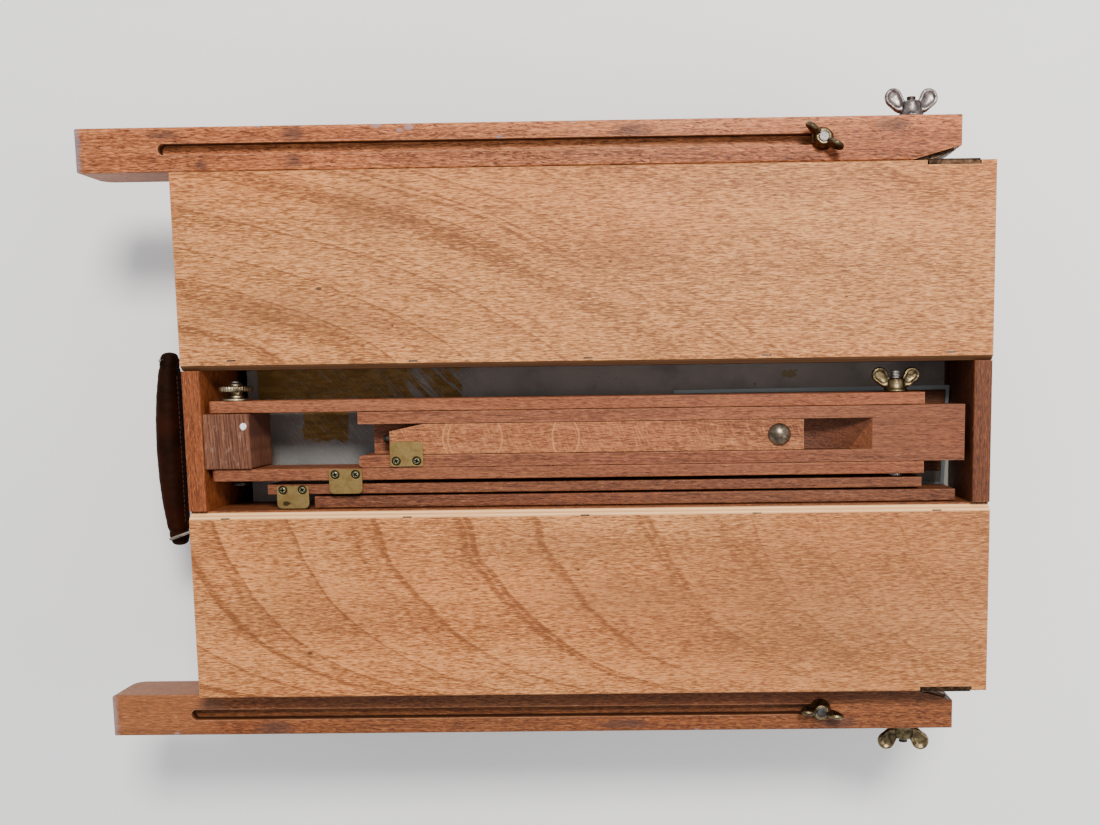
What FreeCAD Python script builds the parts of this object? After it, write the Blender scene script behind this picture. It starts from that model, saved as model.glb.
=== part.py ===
import FreeCAD, Part
import math
import os

# Folding wooden sketch-box easel, closed and lying on its lid.
# +Z up (underside of the box), +X towards the drawer front, all sizes in millimetres.

# Driving dimensions
BOX_L = 540.0          # case length along X
BOX_HW = 176.7         # half width of the case
H = 165.0              # floor to the outer face of the bottom panels
WALL = 12.0            # board thickness of case and lid walls
PANEL_T = 5.0          # thin panels
LID_H = 43.0           # lid height
SEAM = 0.4             # gap between lid and case
CH_HW = 47.5           # half width of the leg channel
CH_DEPTH = 61.5        # panel face down to the drawer tray
KNOB_OUT = 17.5        # drawer knob, proud of the front
FOOT_X = -71.5         # front leg foot, from the back face of the case
LEG_END = 523.0        # front leg pivot end
LEG_W = 29.5
LEG_D = 38.0
LEG_GAP = 4.0          # case side to front leg
LEG_TOP = H - 22.0
SLIDE_R = 3.7          # slide bolts
PIVOT_R = 3.0          # pivot bolts
RUN = 0.05             # radial running clearance
REAR_Y = -0.4          # centre line of the rear leg
REAR_TOP = H - 4.5
REAR_PIV_Z = H - 15.0
REAR_PIV_X = 30.8
FOLD_X = 479.0
X_MID = (FOOT_X + BOX_L + KNOB_OUT) / 2.0
CASE_Z0 = LID_H + SEAM
TRAY_Z = H - CH_DEPTH
SWING_X = 513.0
SWING_Z = LEG_TOP - LEG_D / 2.0

V = FreeCAD.Vector
X_AX, Y_AX, Z_AX = V(1, 0, 0), V(0, 1, 0), V(0, 0, 1)


def box(x0, x1, y0, y1, z0, z1):
    """Block between two corners; x counts from the back face of the case."""
    return Part.makeBox(x1 - x0, y1 - y0, z1 - z0, V(x0 - X_MID, y0, z0))


def rod(x, y, z, axis, radius, length):
    """Cylinder starting at a point and running along an axis."""
    return Part.makeCylinder(radius, length, V(x - X_MID, y, z), axis)


def eased(shape, radius, keep=None):
    """Round the straight edges chosen by keep, or every edge."""
    edges = [e for e in shape.Edges if keep is None or keep(e)]
    return shape.makeFillet(radius, edges)


def edges_along(shape, axis, test):
    """Straight edges parallel to an axis whose middle passes the test."""
    found = []
    for e in shape.Edges:
        a, b = e.Vertexes[0].Point, e.Vertexes[-1].Point
        d = b - a
        if d.Length < 0.01 or abs(abs(d.normalize().dot(axis)) - 1.0) > 1e-6:
            continue
        mid = (a + b) * 0.5
        if test(mid):
            found.append(e)
    return found


def board(x0, x1, y0, y1, z0, z1, radius=0.8):
    """Board with softly broken edges."""
    return eased(box(x0, x1, y0, y1, z0, z1), radius)


def slot_cut(x0, x1, y, width, z0, z1):
    """Cutter for a slot with round ends along X, cut through in Z."""
    r = width / 2.0
    body = box(x0 + r, x1 - r, y - r, y + r, z0, z1)
    for x in (x0 + r, x1 - r):
        body = body.fuse(rod(x, y, z0, Z_AX, r, z1 - z0))
    return body


def profile_xz(points, y0, y1):
    """Closed outline in X and Z, extruded along Y."""
    pts = [V(x - X_MID, y0, z) for x, z in points]
    wire = Part.makePolygon(pts + [pts[0]])
    return Part.Face(wire).extrude(V(0, y1 - y0, 0))


def profile_xy(points, z0, z1):
    """Closed outline in X and Y, extruded along Z."""
    pts = [V(x - X_MID, y, z0) for x, y in points]
    wire = Part.makePolygon(pts + [pts[0]])
    return Part.Face(wire).extrude(V(0, 0, z1 - z0))


def both_sides(shape):
    """The shape and its mirror image across the centre plane."""
    return Part.Compound([shape, shape.mirror(V(0, 0, 0), Y_AX)])


def mirrored(shape):
    return shape.mirror(V(0, 0, 0), Y_AX)


def screw_head(radius, height, cross):
    """Low domed head on +Z with a cross recess, base at the origin."""
    sphere_r = (radius * radius + height * height) / (2.0 * height)
    ball = Part.makeSphere(sphere_r, V(0, 0, height - sphere_r))
    head = ball.common(Part.makeCylinder(radius, height, V(0, 0, 0), Z_AX))
    if cross:
        for turn in (0, 90):
            corner = V(-radius * 0.6, -radius * 0.14, height * 0.5)
            bar = Part.makeBox(radius * 1.2, radius * 0.28, height, corner)
            bar.rotate(V(0, 0, 0), Z_AX, turn + 25)
            head = head.cut(bar)
    return head


def wing_nut(bolt_r, span, height):
    """Wing nut on +Z: stepped hub with a bore and two dished lobes."""
    hub_r = bolt_r + 3.6
    hub = Part.makeCone(hub_r + 0.6, hub_r - 0.8, height * 0.48)
    collar = Part.makeCylinder(hub_r + 1.0, 1.4)
    half = span / 2.0
    outline = [V(hub_r - 2.4, 0, 1.6), V(half * 0.66, 0, height * 0.22), V(half * 0.95, 0, height * 0.58),
               V(half, 0, height * 0.84), V(half * 0.86, 0, height), V(half * 0.66, 0, height * 0.95),
               V(half * 0.52, 0, height * 0.72), V(hub_r - 2.4, 0, height * 0.46)]
    curve = Part.BSplineCurve()
    curve.interpolate(outline)
    edge = curve.toShape()
    wire = Part.Wire([edge, Part.makeLine(outline[-1], outline[0])])
    lobe = Part.Face(wire).extrude(V(0, 3.4, 0))
    lobe.translate(V(0, -1.7, 0))
    dish = Part.makeCylinder(height * 0.17, 2.0, V(half * 0.76, 0.9, height * 0.7), Y_AX)
    lobe = lobe.cut(dish)
    lobe = lobe.cut(Part.makeCylinder(height * 0.17, 2.0, V(half * 0.76, -2.9, height * 0.7), Y_AX))
    other = lobe.copy()
    other.rotate(V(0, 0, 0), Z_AX, 180)
    nut = hub.fuse(collar).fuse(lobe).fuse(other)
    return nut.cut(Part.makeCylinder(bolt_r + RUN, height * 2, V(0, 0, -1), Z_AX)).removeSplitter()


def placed(shape, x, y, z, axis, turn=0.0):
    """Turn a part made on +Z about its own axis, aim it along an axis and move it."""
    part = shape.copy()
    part.rotate(V(0, 0, 0), Z_AX, turn)
    part.Placement = FreeCAD.Placement(V(x - X_MID, y, z), FreeCAD.Rotation(Z_AX, axis)) * part.Placement
    return part


def guide_plate(x0, x1, y0, y1, z, round_low, screw_y):
    """Brass plate, well rounded on the free side, with two cross-head screws on the other."""
    plate = box(x0, x1, y0, y1, z, z + 1.3)
    free_y, held_y = (y0, y1) if round_low else (y1, y0)
    for edge_y, radius in ((free_y, 3.4), (held_y, 1.2)):
        corners = edges_along(plate, Z_AX, lambda m: abs(m.y - edge_y) < 0.1)
        plate = plate.makeFillet(radius, corners)
    for x in (x0 + 4.1, x1 - 4.4):
        plate = plate.fuse(placed(screw_head(2.7, 0.9, True), x, screw_y, z + 1.25, Z_AX, x))
    return plate


# ---- case ----

def case_side():
    """Long side wall on +Y with the swivel recess and the palette groove."""
    wall = board(0, BOX_L, BOX_HW - WALL, BOX_HW, CASE_Z0, H - PANEL_T)
    wall = wall.cut(box(495, 530, BOX_HW - 3.0, BOX_HW + 1, 100, H))
    return wall.cut(box(12, BOX_L + 1, BOX_HW - WALL - 1, BOX_HW - WALL + 1.5, 44.8, 50.6))


def end_wall(x0, x1, z0):
    """End wall between the side walls, standing up to the panel face inside the channel."""
    hw = BOX_HW - WALL
    low = box(x0, x1, -hw, hw, z0, H - PANEL_T)
    high = box(x0, x1, -CH_HW + 0.3, CH_HW - 0.3, H - PANEL_T - 1, H - 0.4)
    wall = low.fuse(high).removeSplitter()
    top = edges_along(wall, Y_AX, lambda m: m.z > H - 1)
    return wall.makeFillet(1.0, top)


def bottom_panel(side):
    """Thin bottom panel, bevelled along the channel, relieved at the swivel recess."""
    edge, bevel = (CH_HW, 3.2) if side > 0 else (CH_HW + 1.2, 4.4)
    panel = box(0, BOX_L, edge, BOX_HW, H - PANEL_T, H)
    inner = edges_along(panel, X_AX, lambda m: m.y < edge + 1 and m.z > H - 1)
    panel = panel.makeChamfer(bevel, inner)
    rest = edges_along(panel, X_AX, lambda m: m.y > BOX_HW - 1 and m.z > H - 1)
    panel = panel.makeFillet(1.2, rest)
    panel = panel.cut(box(495, 530, BOX_HW - 3.0, BOX_HW + 1, 100, H + 1))
    if side < 0:
        panel = mirrored(panel)
    for x, y in STAPLES:
        if y * side > 0:
            panel = panel.cut(box(x - 3.0, x + 3.0, y - 0.5, y + 0.5, H - 0.7, H + 1))
    return panel


def channel_walls():
    """Two boards that line the channel, with rests for the thin rails."""
    wall = box(WALL, BOX_L - WALL, CH_HW, CH_HW + 8.0, TRAY_Z + 2.5, H - PANEL_T)
    rests = [box(x, x + 24, -CH_HW, -29.4, 116.0, 123.0) for x in (150, 400)]
    return Part.Compound([wall, mirrored(wall)] + rests)


def leg_pivot_block():
    """Hardwood block on the back wall that carries the rear leg pivot bolt."""
    block = board(WALL, 43.6, REAR_Y - 18.6, REAR_Y + 18.6, H - 44.0, H - 1.6, 1.0)
    return block.cut(rod(REAR_PIV_X, -40, REAR_PIV_Z, Y_AX, PIVOT_R, 80))


def rear_pivot_bolt():
    """Bolt through the block and both upper rails, with a low head on the far side."""
    bolt = rod(REAR_PIV_X, REAR_Y - 28.6, REAR_PIV_Z, Y_AX, PIVOT_R, 68.8)
    head = rod(REAR_PIV_X, REAR_Y - 30.6, REAR_PIV_Z, Y_AX, 5.5, 2.0)
    return bolt.fuse(head)


STAPLES = ((34.4, 53.6), (155.9, 51.9), (272.3, 52.3), (390.8, 52.6), (512.1, 52.9),
           (24.5, -52.4), (148.0, -52.6), (268.3, -52.7), (384.0, -52.7), (504.6, -52.2))


def panel_staples():
    """Wire staples driven just under the face of both panels beside the channel."""
    return Part.Compound([box(x - 2.9, x + 2.9, y - 0.4, y + 0.4, H - 0.7, H - 0.15) for x, y in STAPLES])


def drawer_runners():
    """Strips on the side walls that carry the drawer when the easel stands on its legs."""
    return both_sides(box(WALL, BOX_L - WALL - 1, 150, BOX_HW - WALL, TRAY_Z + 0.6, TRAY_Z + 9))


HINGE_Y = 118.0
HINGE_X = -3.2
HINGE_Z = LID_H + SEAM / 2.0


def hinge_leaves_fixed():
    """Case leaves of the lid hinges: two outer knuckles each and the pin."""
    leaf = box(-1.6, 0, HINGE_Y - 20, HINGE_Y + 20, HINGE_Z + 0.6, HINGE_Z + 26)
    leaf = leaf.cut(box(-3, 1, HINGE_Y - 8.2, HINGE_Y + 8.2, HINGE_Z, HINGE_Z + 4.0))
    for y in (HINGE_Y - 20, HINGE_Y + 8.2):
        leaf = leaf.fuse(rod(HINGE_X, y, HINGE_Z, Y_AX, 3.0, 11.8))
    leaf = leaf.fuse(rod(HINGE_X, HINGE_Y - 21, HINGE_Z, Y_AX, 1.2, 42))
    for y in (HINGE_Y - 13, HINGE_Y + 13):
        leaf = leaf.fuse(placed(screw_head(3.0, 1.0, True), -1.55, y, HINGE_Z + 16, V(-1, 0, 0)))
    return both_sides(leaf.removeSplitter())


LATCH_X = 470.0
LATCH_Z = 24.0
LATCH_ARM = 32.0


def latch_pins():
    """Headed pins on the case sides that the lid hooks catch."""
    pin = rod(LATCH_X, BOX_HW, LATCH_Z + LATCH_ARM, Y_AX, 2.0, 4.0)
    head = rod(LATCH_X, BOX_HW + 4.0, LATCH_Z + LATCH_ARM, Y_AX, 3.6, 1.6)
    return both_sides(pin.fuse(head))


def swivel_seats():
    """Plates in the side recesses with the rivet that each leg swivel turns on."""
    y = BOX_HW - 3.0
    seat = box(495.5, 529.5, y, y + 1.3, 101, H - 6)
    seat = seat.fuse(rod(SWING_X, y, SWING_Z, Y_AX, 4.0, 5.6))
    seat = seat.fuse(rod(SWING_X, y + 4.0, SWING_Z, Y_AX, 7.0, 1.7))
    pad = box(496.0, 529.5, y, BOX_HW + 1.2, 143.5, H - 0.4)
    pad = pad.makeFillet(2.4, edges_along(pad, X_AX, lambda m: m.y > BOX_HW))
    return both_sides(seat.fuse(pad).removeSplitter())


HANDLE_Z = H - 83.0
HANDLE_ENDS = ((-75.8, -72.0), (55.5, 64.0))   # pin and wall staple of each ring along Y
HANDLE_PIV_X = -4.8
HANDLE_PIN_X = -44.0


def handle_staples():
    """Two wall staples that the handle rings swing in."""
    parts = []
    for pin_y, wall_y in HANDLE_ENDS:
        ring = Part.makeTorus(3.4, 1.1, V(HANDLE_PIV_X - X_MID, wall_y, HANDLE_Z), Y_AX)
        foot = box(-1.4, 0, wall_y - 6, wall_y + 6, HANDLE_Z - 9, HANDLE_Z + 9)
        parts.append(ring.fuse(foot).removeSplitter())
    return Part.Compound(parts)


# ---- handle ----

def wire_path(points, radius):
    """Round wire along straight runs with ball corners."""
    wire = None
    for a, b in zip(points, points[1:]):
        piece = Part.makeCylinder(radius, (b - a).Length, a, b - a)
        piece = piece.fuse(Part.makeSphere(radius, a)).fuse(Part.makeSphere(radius, b))
        wire = piece if wire is None else wire.fuse(piece)
    return wire.removeSplitter()


def handle_rings():
    """Wire rings: a bar in the wall staple, two arms and a pin through the grip end."""
    parts = []
    for pin_y, wall_y in HANDLE_ENDS:
        x0 = HANDLE_PIV_X - X_MID
        x1 = HANDLE_PIN_X - X_MID
        path = [V(x1, pin_y, HANDLE_Z), V(x1, pin_y, HANDLE_Z + 13.4),
                V(x0 - 15, wall_y + 5, HANDLE_Z + 9), V(x0, wall_y + 5.5, HANDLE_Z),
                V(x0, wall_y - 5.5, HANDLE_Z), V(x0 - 15, wall_y - 5, HANDLE_Z - 9),
                V(x1, pin_y, HANDLE_Z - 13.4), V(x1, pin_y, HANDLE_Z)]
        parts.append(wire_path(path, 1.1))
    return Part.Compound(parts)


def handle_grip():
    """Bowed leather grip, full in the middle, with rounded ends that the ring pins pass through."""
    stations = ((0.0, -45.2, 9.4, 12.5), (0.3, -44.9, 9.1, 12.3), (0.55, -44.2, 8.3, 11.9),
                (0.8, -43.2, 7.1, 11.4), (0.93, -42.8, 6.3, 10.6), (1.0, -42.4, 4.0, 8.4))
    stations = [(-t, x, rx, rz) for t, x, rx, rz in reversed(stations[1:])] + list(stations)
    low, high = HANDLE_ENDS[0][0] - 6.5, HANDLE_ENDS[1][0] + 6.5
    mid, half = (low + high) / 2.0, (high - low) / 2.0
    wires = []
    for t, x, rx, rz in stations:
        centre = V(x - X_MID, mid + t * half, HANDLE_Z)
        ring = Part.Wire([Part.Ellipse(V(0, 0, 0), rz, rx).toShape()])
        ring.Placement = FreeCAD.Placement(centre, FreeCAD.Rotation(Z_AX, Y_AX))
        ring.rotate(centre, Y_AX, 90)
        wires.append(ring)
    grip = Part.makeLoft(wires, True, False)
    for pin_y, wall_y in HANDLE_ENDS:
        grip = grip.cut(rod(HANDLE_PIN_X, pin_y, HANDLE_Z - 20, Z_AX, 1.45, 40))
    return grip


# ---- drawer and palette ----

DRAWER_Z0 = 51.6


def drawer_front():
    front = board(BOX_L - WALL, BOX_L, -(BOX_HW - WALL) + 0.7, BOX_HW - WALL - 0.7, DRAWER_Z0, TRAY_Z + 1.8)
    return front


def drawer_frame():
    """Drawer sides, back and dividers."""
    hw = BOX_HW - WALL - 1.0
    z0, z1 = DRAWER_Z0, TRAY_Z - 0.8
    frame = box(22, BOX_L - WALL, -hw, hw, z0, z1)
    frame = frame.cut(box(31, BOX_L - WALL - 7, -hw + 8, hw - 8, z0 - 1, z1 + 1))
    for y in (-55.0, 55.0):
        frame = frame.fuse(box(31, BOX_L - WALL - 7, y - 3, y + 3, z0 + 6, z1))
    for x in (200.0, 360.0):
        frame = frame.fuse(box(x - 3, x + 3, 58, hw - 8, z0 + 6, z1))
    stop = profile_xy(((498, -31), (521.6, -31), (524.5, 27.2), (498, 27.2)), TRAY_Z, TRAY_Z + 1.4)
    return Part.Compound([frame.removeSplitter(), stop])


def drawer_tray():
    """Sheet metal bottom of the drawer with a turned rim."""
    hw = BOX_HW - WALL - 1.0
    sheet = box(22, BOX_L - WALL - 4.2, -hw, hw, TRAY_Z - 0.8, TRAY_Z)
    for outline in (((330, 26.8), (527.3, 27.4), (527.3, 30.4), (330, 29.2)),
                    ((524.8, 28), (527.3, 28), (524.3, -41.8), (521.7, -41.8)),
                    ((440, -41.8), (524.3, -41.8), (524.3, -39.0), (440, -39.0))):
        sheet = sheet.fuse(profile_xy(outline, TRAY_Z - 0.1, TRAY_Z + 1.2))
    return sheet.removeSplitter()


def drawer_knob():
    stem = rod(BOX_L, 0, 78, X_AX, 4.0, 7)
    cap = Part.makeSphere(9.0, V(BOX_L + KNOB_OUT - 9.0 - X_MID, 0, 78))
    cap = cap.common(rod(BOX_L + 4.5, 0, 78, X_AX, 9.5, KNOB_OUT - 4.5))
    plate = rod(BOX_L, 0, 78, X_AX, 8.0, 1.4)
    return stem.fuse(cap).fuse(plate).removeSplitter()


def palette():
    """Wooden palette in the side grooves with a thumb hole and a brush notch."""
    plate = box(14, 526, -(BOX_HW - WALL) - 1.2, BOX_HW - WALL + 1.2, 45.3, 50.1)
    plate = plate.fuse(box(526, BOX_L - 1, -158, 158, 45.3, 50.1)).removeSplitter()
    hole = rod(395, 95, 40, Z_AX, 15, 20)
    hole = hole.fuse(rod(420, 101, 40, Z_AX, 11, 20)).fuse(box(395, 420, 84, 112, 40, 60))
    return plate.cut(hole)


# ---- lid ----

MAST_HW = 33.5


def lid_frame():
    """Four lid boards; the front one is notched for the mast."""
    hw = BOX_HW
    frame = box(0, BOX_L, -hw, hw, PANEL_T, LID_H)
    frame = frame.cut(box(WALL, BOX_L - WALL, -hw + WALL, hw - WALL, 0, LID_H + 1))
    frame = frame.cut(box(BOX_L - WALL - 1, BOX_L + 1, -MAST_HW - 1, MAST_HW + 1, 0, 38.5))
    upright = edges_along(frame, Z_AX, lambda m: abs(m.y) > hw - 1)
    frame = frame.makeFillet(1.5, upright)
    for side in (1, -1):
        start = side * (hw - 8) if side > 0 else -hw - 1
        frame = frame.cut(rod(LATCH_X, start, LATCH_Z, Y_AX, 2.2 + RUN, 9))
    return frame


def lid_panel():
    panel = box(0, BOX_L, MAST_HW + 2.5, BOX_HW, 0, PANEL_T)
    outer = edges_along(panel, X_AX, lambda m: m.z < 1)
    return panel.makeFillet(1.2, outer)


def hinge_leaves_lid():
    """Lid leaves of the hinges: one middle knuckle each."""
    leaf = box(-1.6, 0, HINGE_Y - 20, HINGE_Y + 20, HINGE_Z - 26, HINGE_Z - 0.6)
    for y in (HINGE_Y - 20.2, HINGE_Y + 8.0):
        leaf = leaf.cut(box(-3, 1, y, y + 12.2, HINGE_Z - 4.0, HINGE_Z))
    leaf = leaf.fuse(rod(HINGE_X, HINGE_Y - 8.0, HINGE_Z, Y_AX, 3.0, 16.0))
    leaf = leaf.cut(rod(HINGE_X, HINGE_Y - 12, HINGE_Z, Y_AX, 1.2 + RUN, 24))
    for y in (HINGE_Y - 13, HINGE_Y + 13):
        leaf = leaf.fuse(placed(screw_head(3.0, 1.0, True), -1.55, y, HINGE_Z - 16, V(-1, 0, 0)))
    return both_sides(leaf.removeSplitter())


def latch_hook():
    """Swing hook on its screw, open, pointing to the back."""
    y = BOX_HW + 0.6
    arm = box(LATCH_X - LATCH_ARM - 5, LATCH_X, y, y + 1.6, LATCH_Z - 4, LATCH_Z + 4)
    arm = arm.fuse(rod(LATCH_X, y, LATCH_Z, Y_AX, 5.5, 1.6))
    arm = arm.fuse(rod(LATCH_X - LATCH_ARM - 2, y, LATCH_Z, Y_AX, 5.5, 1.6))
    mouth = rod(LATCH_X - LATCH_ARM, y - 1, LATCH_Z, Y_AX, 2.3, 4)
    pin_x = LATCH_X - LATCH_ARM
    mouth = mouth.fuse(box(pin_x - 2.3, pin_x + 2.3, y - 1, y + 3, LATCH_Z, LATCH_Z + 8))
    arm = arm.cut(mouth)
    screw = rod(LATCH_X, BOX_HW - 7.5, LATCH_Z, Y_AX, 2.2, 9.5)
    head = placed(screw_head(4.2, 1.6, False), LATCH_X, y + 1.6, LATCH_Z, Y_AX)
    return arm.fuse(screw).fuse(head).removeSplitter()


def mast_outer():
    """Canvas mast in the lid, grooved for the inner mast."""
    mast = board(14, BOX_L - 1, -MAST_HW, MAST_HW, 1.2, 22.0)
    return mast.cut(box(40, BOX_L, -12.4, 12.4, 9.8, 23))


def canvas_ledge():
    """Lower canvas rest across the mast, with a raised lip."""
    bar = box(52, 74, -75, 75, 22.0, 34.0)
    lip = box(52, 57, -75, 75, 33.0, 39.0)
    ledge = bar.fuse(lip).removeSplitter()
    ends = edges_along(ledge, Z_AX, lambda m: abs(m.y) > 74 and m.x > 70 - X_MID)
    return ledge.makeFillet(4.0, ends)


def mast_inner():
    return box(80, BOX_L - 2, -12, 12, 10.2, 21.8)


def canvas_clamp():
    """Upper canvas clamp on the end of the inner mast."""
    block = box(500, 524, -24, 24, 22.2, 36.0)
    block = block.cut(box(499, 506, -25, 25, 22.0, 29.0))
    neck = box(508, 522, -11.5, 11.5, 21.8, 22.4)
    ends = edges_along(block, Z_AX, lambda m: abs(m.y) > 23 and m.x > 520 - X_MID)
    return block.makeFillet(4.0, ends).fuse(neck).removeSplitter()


# ---- front legs, made for +Y ----

LEG_Y0 = BOX_HW + LEG_GAP
LEG_YC = LEG_Y0 + LEG_W / 2.0
SLOT_Y = LEG_YC
LEG_BOLT_X = 493.0
SLIDE_X = 430.0
SPLAY_X = 500.5
BEVEL_X = 489.5
BEVEL_Y = 9.3
SPLAY_Y = BOX_HW + 1.3


def leg_upper():
    """Upper leg: long slot in the web, deep groove behind it, relief at the pivot end."""
    z0, z1 = LEG_TOP - LEG_D, LEG_TOP
    leg = box(FOOT_X, LEG_END, LEG_Y0, LEG_Y0 + LEG_W, z0, z1)
    foot = edges_along(leg, Y_AX, lambda m: m.x < FOOT_X + 1 - X_MID and m.z < z0 + 1)
    leg = leg.makeFillet(9.0, foot)
    leg = leg.makeFillet(1.3, edges_along(leg, X_AX, lambda m: True))
    relief = profile_xy(((BEVEL_X, LEG_Y0), (LEG_END + 0.1, LEG_Y0 + BEVEL_Y), (LEG_END + 0.1, LEG_Y0 - 2),
                         (BEVEL_X, LEG_Y0 - 2)), z0 - 1, z1 + 1)
    leg = leg.cut(relief)
    groove = box(FOOT_X - 1, 444, LEG_YC - 8.2, LEG_YC + 8.2, z0 - 1, z1 - 8)
    leg = leg.cut(groove)
    leg = leg.cut(slot_cut(-16, SLIDE_X + SLIDE_R + 0.3, SLOT_Y, 2 * (SLIDE_R + RUN), z1 - 10, z1 + 1))
    leg = leg.cut(rod(LEG_BOLT_X, LEG_Y0 - 1, SWING_Z, Y_AX, PIVOT_R, LEG_W + 2))
    return leg.removeSplitter()


def leg_lower():
    """Sliding lower stick inside the groove."""
    z0, z1 = LEG_TOP - LEG_D + 0.6, LEG_TOP - 8.3
    stick = box(FOOT_X + 1.2, 440, LEG_YC - 7.9, LEG_YC + 7.9, z0, z1)
    foot = edges_along(stick, Y_AX, lambda m: m.x < FOOT_X + 2 - X_MID and m.z < z0 + 1)
    stick = stick.makeFillet(9.0, foot)
    return stick.cut(rod(SLIDE_X, SLOT_Y, z0 - 1, Z_AX, SLIDE_R, 60))


def leg_slide_bolt():
    """Bolt fixed in the lower stick, through the slot."""
    z0 = LEG_TOP - LEG_D + 0.6
    shank = rod(SLIDE_X, SLOT_Y, z0 - 0.4, Z_AX, SLIDE_R, LEG_TOP + 9.2 - z0 + 0.4)
    shank = shank.makeChamfer(0.6, edges_at_top(shank))
    return shank


def edges_at_top(shape):
    """The end circle farthest along +Z."""
    top = max(e.BoundBox.ZMax for e in shape.Edges)
    return [e for e in shape.Edges if e.BoundBox.ZMin > top - 0.01]


def leg_swivel():
    """Brass disc that swings on the seat rivet and carries the middle knuckle."""
    y = BOX_HW - 1.5
    disc = rod(SWING_X, y, SWING_Z, Y_AX, 15.0, 2.0)
    disc = disc.cut(box(490, SPLAY_X + 3.0, y - 1, y + 3, SWING_Z - 20, SWING_Z - 5))
    disc = disc.cut(box(490, SPLAY_X + 3.0, y - 1, y + 3, SWING_Z + 5, SWING_Z + 20))
    lug = box(SPLAY_X - 1.5, SPLAY_X + 8, y, y + 2.0, SWING_Z - 5, SWING_Z + 5)
    knuckle = rod(SPLAY_X, SPLAY_Y, SWING_Z - 5, Z_AX, 2.6, 10)
    swivel = disc.fuse(lug).fuse(knuckle)
    swivel = swivel.cut(rod(SWING_X, y - 1, SWING_Z, Y_AX, 4.0 + RUN, 5))
    swivel = swivel.cut(rod(SPLAY_X, SPLAY_Y, SWING_Z - 6, Z_AX, 1.1 + RUN, 12))
    return swivel.removeSplitter()


def leg_leaf():
    """Brass leaf on the leg's inner face and relief, with the outer knuckles, pin and pivot bolt."""
    y0, end_y = LEG_Y0 - 1.6, LEG_Y0 + (519 - BEVEL_X) * BEVEL_Y / (LEG_END - BEVEL_X)
    outline = ((478, y0), (502, y0), (502, LEG_Y0), (519.4, end_y - 1.6), (519, end_y - 0.1),
               (BEVEL_X, LEG_Y0 - 0.03), (478, LEG_Y0 - 0.03))
    leaf = profile_xy(outline, SWING_Z - 9, SWING_Z + 14)
    leaf = leaf.cut(box(SPLAY_X - 3.2, SPLAY_X + 3, y0 - 1, LEG_Y0 + 0.2, SWING_Z - 5.2, SWING_Z + 5.2))
    for z in (SWING_Z - 9, SWING_Z + 5.2):
        leaf = leaf.fuse(rod(SPLAY_X, SPLAY_Y, z, Z_AX, 2.6, 3.8))
    leaf = leaf.fuse(rod(SPLAY_X, SPLAY_Y, SWING_Z - 9.4, Z_AX, 1.1, 18.8))
    return leaf.fuse(rod(LEG_BOLT_X, y0 + 0.8, SWING_Z, Y_AX, PIVOT_R, LEG_W + 16.4))


def leg_pivot_nut():
    nut = wing_nut(PIVOT_R, 36.6, 20.0)
    nut.translate(V(0, 0, 1.4))
    washer = Part.makeCylinder(8.8, 1.6).cut(Part.makeCylinder(PIVOT_R + RUN, 1.6))
    return placed(nut.fuse(washer), LEG_BOLT_X, LEG_Y0 + LEG_W + 0.15, SWING_Z, Y_AX, 0)


def leg_slide_nut(turn):
    nut = wing_nut(SLIDE_R, 30.0, 15.0)
    return placed(nut, SLIDE_X, SLOT_Y, LEG_TOP + 0.15, Z_AX, turn)


# ---- rear leg ----

RAIL_IN = 19.0
RAIL_OUT = 27.2
RAIL_Z0 = REAR_TOP - 36.0


def rear_upper_rails():
    """Two upper rails joined by a cross piece, ends eased where they swing past the wall."""
    rails = None
    for y0 in (REAR_Y + RAIL_IN, REAR_Y - RAIL_OUT):
        rail = box(15.2, 496.4, y0, y0 + RAIL_OUT - RAIL_IN, RAIL_Z0, REAR_TOP)
        rail = rail.makeFillet(8.0, edges_along(rail, Y_AX, lambda m: m.x < 16 - X_MID and m.z < REAR_PIV_Z))
        rail = rail.makeFillet(3.0, edges_along(rail, Y_AX, lambda m: m.x < 16 - X_MID and m.z > REAR_PIV_Z))
        rail = rail.makeFillet(0.8, edges_along(rail, X_AX, lambda m: True))
        rail = rail.cut(rod(REAR_PIV_X, y0 - 1, REAR_PIV_Z, Y_AX, PIVOT_R + RUN, 20))
        rail = rail.cut(rod(FOLD_X, y0 - 1, REAR_PIV_Z, Y_AX, PIVOT_R, 20))
        rails = rail if rails is None else rails.fuse(rail)
    cross = box(150, 176, REAR_Y - RAIL_IN - 1, REAR_Y + RAIL_IN + 1, RAIL_Z0 + 0.6, MID_Z0 - 0.5)
    return rails.fuse(cross).removeSplitter()


def rear_fold_bolt():
    """Bolt through the rails that the middle leg folds on."""
    y0 = REAR_Y - RAIL_OUT - 1.8
    head = rod(FOLD_X, y0, REAR_PIV_Z, Y_AX, 5.0, 1.8)
    return head.fuse(rod(FOLD_X, y0 + 1.8, REAR_PIV_Z, Y_AX, PIVOT_R, RAIL_OUT * 2 + 14.5))


MID_HW = 18.7
MID_Z0 = REAR_TOP - 28.0
TONGUE_R = 45.6
TROUGH_HW = 10.6
TROUGH_Z = MID_Z0 + 7.0
RUNOUT_X0, RUNOUT_X1 = 416.6, 461.8   # the trough floor rises in an arc between these
RUNOUT_R = ((RUNOUT_X1 - RUNOUT_X0) ** 2 + (REAR_TOP - TROUGH_Z) ** 2) / (2 * (REAR_TOP - TROUGH_Z))


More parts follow.
